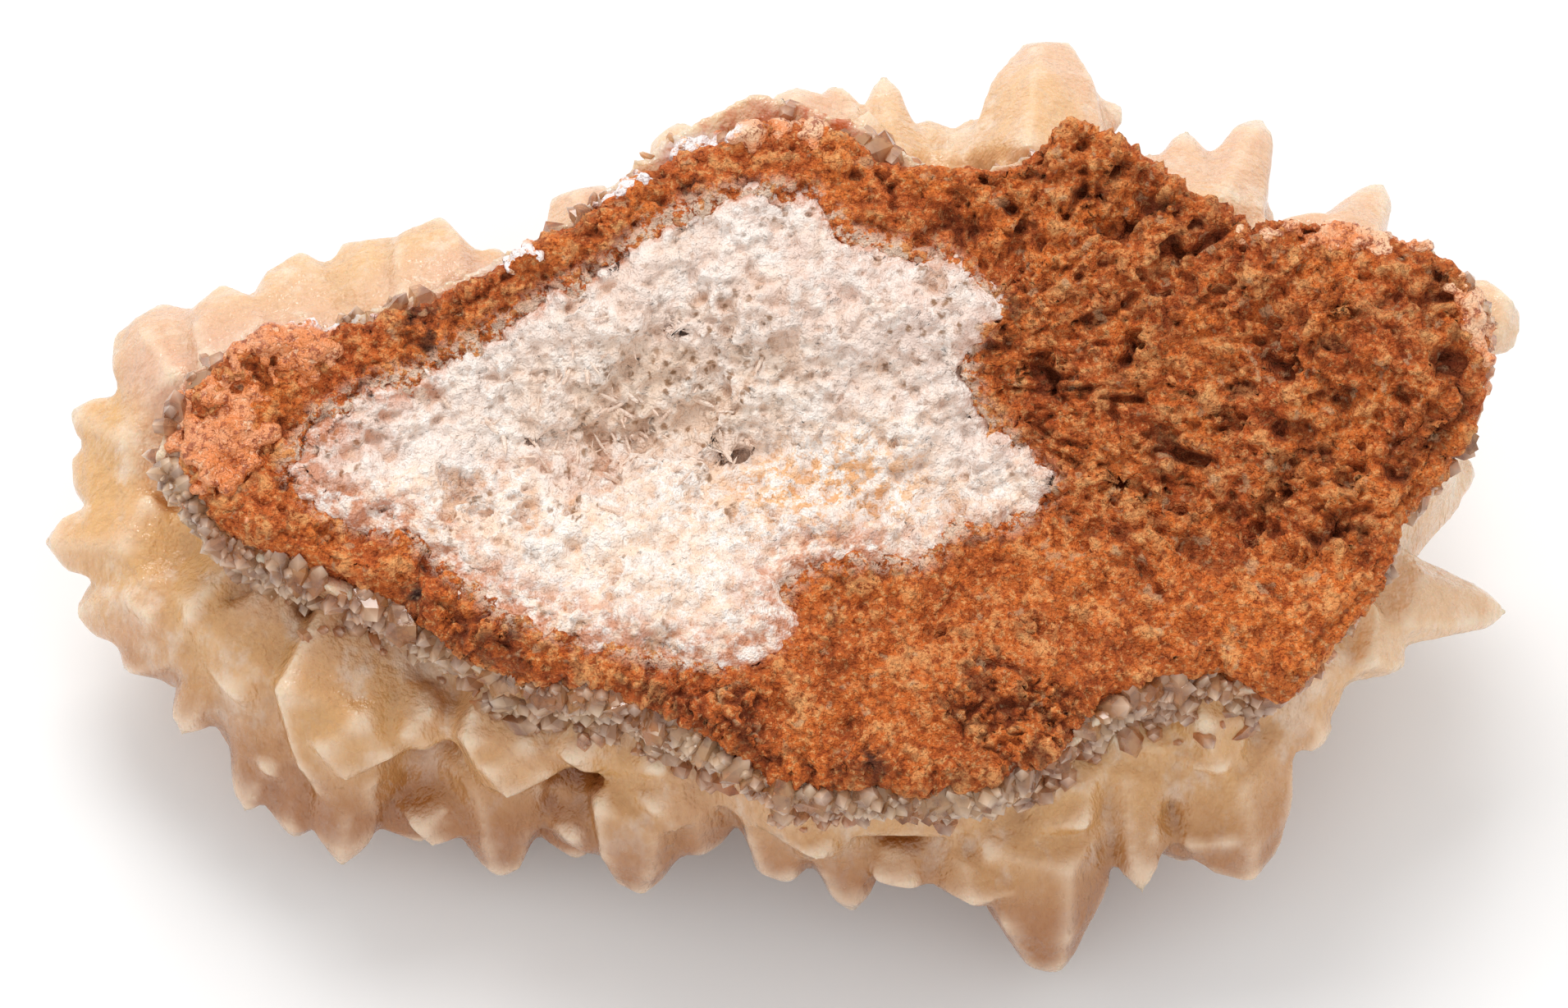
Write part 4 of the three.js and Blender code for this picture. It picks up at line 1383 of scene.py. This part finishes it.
@dataclass
class Crust:
    """The crust of dogtooth crystals, with lesser crystals grown between and along the teeth."""

    voxel: float = 0.42
    lesser: int = 260
    lesser_length: tuple[float, float] = (3.0, 6.5)
    lesser_stoutness: tuple[float, float] = (0.5, 0.8)
    lesser_lean: float = 0.55
    lesser_scatter: float = 0.3
    lesser_habit: Habit = Habit(blunt=0.62, sunk=0.6)
    rounding: int = 2
    ripple: float = 0.07
    pink_at: tuple[float, float] = (-0.5, 16.8)
    pink_reach: tuple[float, float] = (6.0, 2.2)
    centre: tuple[float, float, float] = (2.0, -4.0, 21.0)
    blunt_facing: tuple[float, float, float] = (0.0, -0.75, 0.35)
    blunt_splay: tuple[float, float, float] = (0.55, 0.165, 0.0)
    blunt_scatter: float = 0.14
    blunt_length: float = 9.0
    blunt_rise: float = 1.4
    blunt_shoulder: float = 0.78
    seed: int = 7
    blunt_ends: tuple[tuple[float, float, float, float], ...] = (
        (-27.8, -18.4, 17.6, 9.5), (-17.4, -19.8, 17.4, 8.5), (-7.4, -21.6, 16.0, 8.5),
        (-33.6, -14.6, 17.4, 7.5), (-39.0, -9.6, 17.4, 6.5), (2.6, -24.4, 15.4, 7.0),
        (18.6, -23.0, 16.4, 8.0), (27.4, -19.8, 18.0, 6.5), (28.2, -22.6, 12.4, 8.0),
        (14.2, -26.0, 12.6, 7.5), (33.8, -15.6, 17.0, 6.0), (-22.2, -20.6, 9.4, 6.5),
        (-12.6, -21.4, 10.0, 7.0), (8.2, -25.2, 12.0, 6.0), (23.2, -22.6, 13.2, 6.5),
        (-31.8, -17.4, 12.0, 7.0), (-12.4, -19.4, 18.4, 7.0), (-22.8, -17.6, 18.0, 6.5),
    )

    def blunt_crystals(self, rng: np.random.Generator) -> Skin:
        """Build the large blunt crystals that are seen end-on along the near side.

        Args:
            rng: The seeded source of chance.

        Returns:
            Their joined surface.
        """
        table = np.array(self.blunt_ends)
        ends, widths = table[:, :3], table[:, 3]
        radial = unit((ends - np.array(self.centre)) * [1, 1, 0])
        axes = np.array(self.blunt_facing) + radial * self.blunt_splay
        axes += self.blunt_scatter * rng.normal(size=ends.shape)
        lengths = np.full(len(ends), self.blunt_length)
        habit = Habit(self.blunt_shoulder, 1 - self.blunt_rise / self.blunt_length)
        return habit.skin(ends, axes, lengths, widths)

    def build(self, rock: BVHTree) -> Skin:
        """Build the crust.

        Args:
            rock: The plain rock's search tree.

        Returns:
            Its finished skin.
        """
        teeth = Skin.of_node(Node.CRUST)
        even = teeth.skinned(1.2)
        rng = np.random.default_rng(self.seed)
        clear = smooth_step(even.distance_to(rock, limit=3.0), 0.6, 1.6)
        clear *= smooth_step(even.shelter(reach=9.0, rays=16, seed=13), 0.12, 0.4)
        level = smooth_step(even.corners[:, 2], 0.5, 3.0)
        roots, outward = even.scattered(self.lesser, clear * level, rng)
        radial = unit(roots - np.array(self.centre))
        axes = radial + self.lesser_lean * outward + self.lesser_scatter * rng.normal(size=roots.shape)
        lengths = rng.uniform(*self.lesser_length, self.lesser)
        widths = lengths * rng.uniform(*self.lesser_stoutness, self.lesser)
        small = self.lesser_habit.skin(roots, axes, lengths, widths)
        skin = teeth.joined([small, self.blunt_crystals(rng)]).skinned(self.voxel)
        skin.corners = skin.averaged(skin.corners, self.rounding)
        start = skin.corners.copy()
        normals = skin.normals()
        height = self.ripple * Grain.rough(start * [1, 1, 0.6], size=2.6, seed=81, octaves=3, fade=0.5)
        foot = smooth_step(start[:, 2], 0.15, 1.2)
        skin.corners = start + normals * (height * foot)[:, None]
        near_rock = skin.distance_to(rock, limit=9.0)
        pull = skin.averaged(start, rounds=14) - start
        inward = skin.averaged(np.einsum("nk,nk->n", pull, normals), rounds=4)
        sheltered = skin.shelter(reach=7.0, rays=8, seed=17)
        x, y = start[:, 0], start[:, 1]
        # Painted shade for the low near-side teeth; lit takes most of the painted shade off the right tooth.
        low = (0.2 + 0.75 * smooth_step(-start[:, 2], -19, -8)) * smooth_step(-y, 6, 14)
        lit = 1 - 0.8 * smooth_step(x, 32, 38)
        left_end = smooth_step(-x, 30, 38) * smooth_step(y, -14, -6)
        top_band = smooth_step(-np.abs(x + 1), -8, -3) * smooth_step(y, 6, 10)
        right_lobe = smooth_step(x, 38, 42)
        pink_top = 0.6 * spot(x, y, self.pink_at, self.pink_reach)
        rim = smooth_step(-near_rock, -3.4, -0.4)
        # Painted shade in concave places, in places sheltered between crystals and on the low near side.
        hollow = 0.45 * smooth_step(inward, 0.03, 0.4) + 0.9 * smooth_step(sheltered, 0.25, 0.8) + low
        skin.marks = {
            "hollow": np.clip(hollow, 0, 1) * lit,
            # Painted highlight on open ridges, the right tooth and the far teeth.
            "edge": np.max([
                smooth_step(-inward, 0.03, 0.22) * (1 - smooth_step(sheltered, 0.3, 0.7)),
                0.5 * smooth_step(x, 34, 40),
                0.3 * smooth_step(y, 2, 10),
            ], axis=0),
            # Own honey tint from left to right, weaker on the far teeth as painted light and stronger along
            # the near side.
            "honey": np.maximum(
                smooth_step(x, -10, 20) * (0.8 - 0.5 * smooth_step(y, 5, 15)), 0.7 * smooth_step(-y, 8, 16)
            ),
            "rust": np.clip(rim * (0.35 + left_end + 1.3 * top_band + 0.5 * right_lobe) + pink_top, 0, 1),
            "chalk": Chalk().over(x, y) * smooth_step(start[:, 2], 21, 24),
        }
        piece = Piece("dogtooth_crystals", Slot.CRYSTAL, HoneyCalcite().material, Node.CRUST)
        piece.place(skin)
        return skin


@dataclass
class RimDruse:
    """Small clear crystals along the rock's rim, thickest on the near side."""

    count: int = 2200
    length: tuple[float, float] = (0.8, 3.0)
    crowding: float = 1.6  # above 1, the small ones outnumber the long ones
    stoutness: tuple[float, float] = (0.5, 0.85)
    scatter: float = 0.4
    habit: Habit = Habit(blunt=0.66, sunk=0.56)
    shoulder_glow: float = 0.35
    viewed_from: tuple[float, float, float] = (0.0, -0.41, 0.91)
    seed: int = 23

    def build(self, crust: Skin, rock: BVHTree, gap: np.ndarray) -> bpy.types.Object:
        """Build the druse on the crust's lip.

        Args:
            crust: The finished crust.
            rock: The plain rock's search tree.
            gap: How far each of the crust's corners is from the rock.

        Returns:
            The piece.
        """
        rng = np.random.default_rng(self.seed)
        patchy = smooth_step(Grain.rough(crust.corners, size=5, seed=95, octaves=2), -0.7, 0.2)
        near = smooth_step(-gap, -5.0, -1.2) ** 1.5 * patchy
        high = smooth_step(crust.corners[:, 2], 16, 20)
        side = 0.1 + 0.9 * smooth_step(-crust.corners[:, 1], 2, 9)
        lifted = (crust.corners + 0.2 * crust.normals()).tolist()
        bare = np.array([rock.ray_cast(corner, self.viewed_from, 30)[0] is None for corner in lifted])
        roots, outward = crust.scattered(self.count, near * high * side * bare, rng)
        axes = outward + self.scatter * rng.normal(size=roots.shape)
        shortest, longest = self.length
        lengths = shortest + (longest - shortest) * rng.random(self.count) ** self.crowding
        widths = lengths * rng.uniform(*self.stoutness, self.count)
        skin = self.habit.skin(roots, axes, lengths, widths)
        # The tip mark carries the painted glow, weaker on the shoulders.
        skin.marks = {"tip": self.habit.tip_marks(self.count, self.shoulder_glow)}
        piece = Piece("clear_druse", Slot.CRYSTAL, ClearDruse().material, flat_faces=True)
        return piece.place(skin)


@dataclass
class StainedDruse:
    """Waxy rust-stained crystals that lap over the rock's left end, far edge and right lobe."""

    count: int = 900
    length: tuple[float, float] = (0.7, 1.7)
    voxel: float = 0.2
    chalk_share: float = 0.8
    stoutness: tuple[float, float] = (0.6, 0.95)
    scatter: float = 0.45
    roughness: float = 0.2
    habit: Habit = Habit(blunt=0.7, sunk=0.62)
    seed: int = 31
    zones: tuple[tuple[float, float, float, float], ...] = (
        (-34.5, -3.0, 3.0, 4.5), (-1.0, 16.2, 4.5, 1.5), (43.2, 4.5, 1.4, 4.5), (-30.0, 2.8, 3.2, 1.9),
        (-35.0, 3.0, 3.0, 2.0), (37.0, 8.6, 6.0, 1.0),
    )

    def build(self, crust: Skin, rock: Skin, gap: np.ndarray) -> bpy.types.Object:
        """Build the druse over the rock's rim.

        Args:
            crust: The finished crust.
            rock: The finished rock.
            gap: How far each of the crust's corners is from the rock.

        Returns:
            The piece.
        """
        rng = np.random.default_rng(self.seed)
        ground = crust.joined([rock])
        x, y, z = ground.corners.T
        weight = np.zeros(len(x))
        for cx, cy, rx, ry in self.zones:
            weight = np.maximum(weight, spot(x, y, (cx, cy), (rx, ry)) ** 2)
        weight = np.maximum(weight, self.chalk_share * Chalk().over(x, y) ** 2)
        weight *= np.concatenate([smooth_step(-gap, -2.4, -1.0), np.ones(len(rock.corners))])
        weight *= smooth_step(z, 21, 24) * smooth_step(ground.normals()[:, 2], 0.0, 0.4)
        roots, outward = ground.scattered(self.count, weight, rng)
        axes = outward + self.scatter * rng.normal(size=roots.shape)
        lengths = rng.uniform(*self.length, self.count)
        widths = lengths * rng.uniform(*self.stoutness, self.count)
        skin = self.habit.skin(roots, axes, lengths, widths).skinned(self.voxel)
        skin.corners = skin.averaged(skin.corners, rounds=1)
        relief = self.roughness * Grain.rough(skin.corners, size=1.2, seed=91, octaves=3, fade=0.7)
        skin.corners += skin.normals() * relief[:, None]
        x, y = skin.corners[:, 0], skin.corners[:, 1]
        skin.marks = {"rust": smooth_step(-x, 20, 30), "chalk": smooth_step(Chalk().over(x, y), 0.1, 0.4)}
        piece = Piece("stained_druse", Slot.CRYSTAL, RustyCalcite().material)
        return piece.place(skin)


@dataclass
class Studio:
    """The plain pale floor, the soft lights and the camera at the photograph's viewing angle."""

    target: tuple[float, float, float] = (0.5 * MM, -7.9 * MM, 30 * MM)
    distance: float = 400 * MM
    elevation: float = 66.0
    lens: float = 150.0
    floor_size: float = 4.0
    sky: float = 0.86
    lamp_at: tuple[float, float, float] = (-0.1, 0.45, 0.75)
    lamp_size: float = 0.35
    lamp_watts: float = 3.4
    lit: tuple[float, float, float] = (0.0, 0.0, 0.02)

    def camera(self) -> bpy.types.Object:
        """Place the camera.

        Returns:
            The camera.
        """
        data = bpy.data.cameras.new("camera")
        data.lens = self.lens
        data.clip_start = 0.01
        made = linked("camera", data)
        tilt = math.radians(self.elevation)
        back = Vector((0, -math.cos(tilt), math.sin(tilt)))
        made.location = Vector(self.target) + back * self.distance
        made.rotation_euler = (-back).to_track_quat("-Z", "Y").to_euler()
        bpy.context.scene.camera = made
        return made

    def floor(self) -> bpy.types.Object:
        """Lay the floor at the specimen's lowest point.

        Returns:
            The floor.
        """
        half = self.floor_size / 2
        mesh = bpy.data.meshes.new("floor")
        corners = [(-half, -half, 0), (half, -half, 0), (half, half, 0), (-half, half, 0)]
        mesh.from_pydata(corners, [], [(0, 1, 2, 3)])
        mesh.materials.append(PalePaper().material())
        made = linked("floor", mesh)
        return made

    def lamp(self) -> bpy.types.Object:
        """Hang a soft square lamp that faces the specimen.

        Returns:
            The lamp.
        """
        data = bpy.data.lights.new("key", "AREA")
        data.size = self.lamp_size
        data.energy = self.lamp_watts
        made = linked("key", data)
        made.location = self.lamp_at
        made.rotation_euler = (Vector(self.lit) - Vector(self.lamp_at)).to_track_quat("-Z", "Y").to_euler()
        return made

    def build(self) -> None:
        """Set the whole studio up."""
        world = bpy.data.worlds.new("studio")
        world.use_nodes = True
        world.node_tree.nodes["Background"].inputs["Color"].default_value = (1.0, 1.0, 1.0, 1.0)
        world.node_tree.nodes["Background"].inputs["Strength"].default_value = self.sky
        bpy.context.scene.world = world
        bpy.context.scene.view_settings.view_transform = "Standard"
        self.floor()
        self.lamp()
        self.camera()
        log.info("studio: camera at %.0f degrees above the horizon", self.elevation)


def main() -> None:
    """Build the specimen piece by piece, then the studio, each piece logging its triangle count."""
    logging.basicConfig(level=logging.INFO, format="%(name)s: %(message)s")
    plain_rock = Skin.of_node(Node.ROCK)
    plain_core = Skin.of_node(Node.CORE)
    rock_tree = plain_rock.joined([plain_core]).tree()
    rock = Rock().build(plain_core.tree())
    core = Core().build(plain_rock.tree())
    CaveBlades().build(core)
    crust = Crust().build(rock_tree)
    gap = crust.distance_to(rock_tree, limit=5.0)
    RimDruse().build(crust, rock_tree, gap)
    StainedDruse().build(crust, rock, gap)
    Studio().build()


if __name__ == "__main__":
    main()
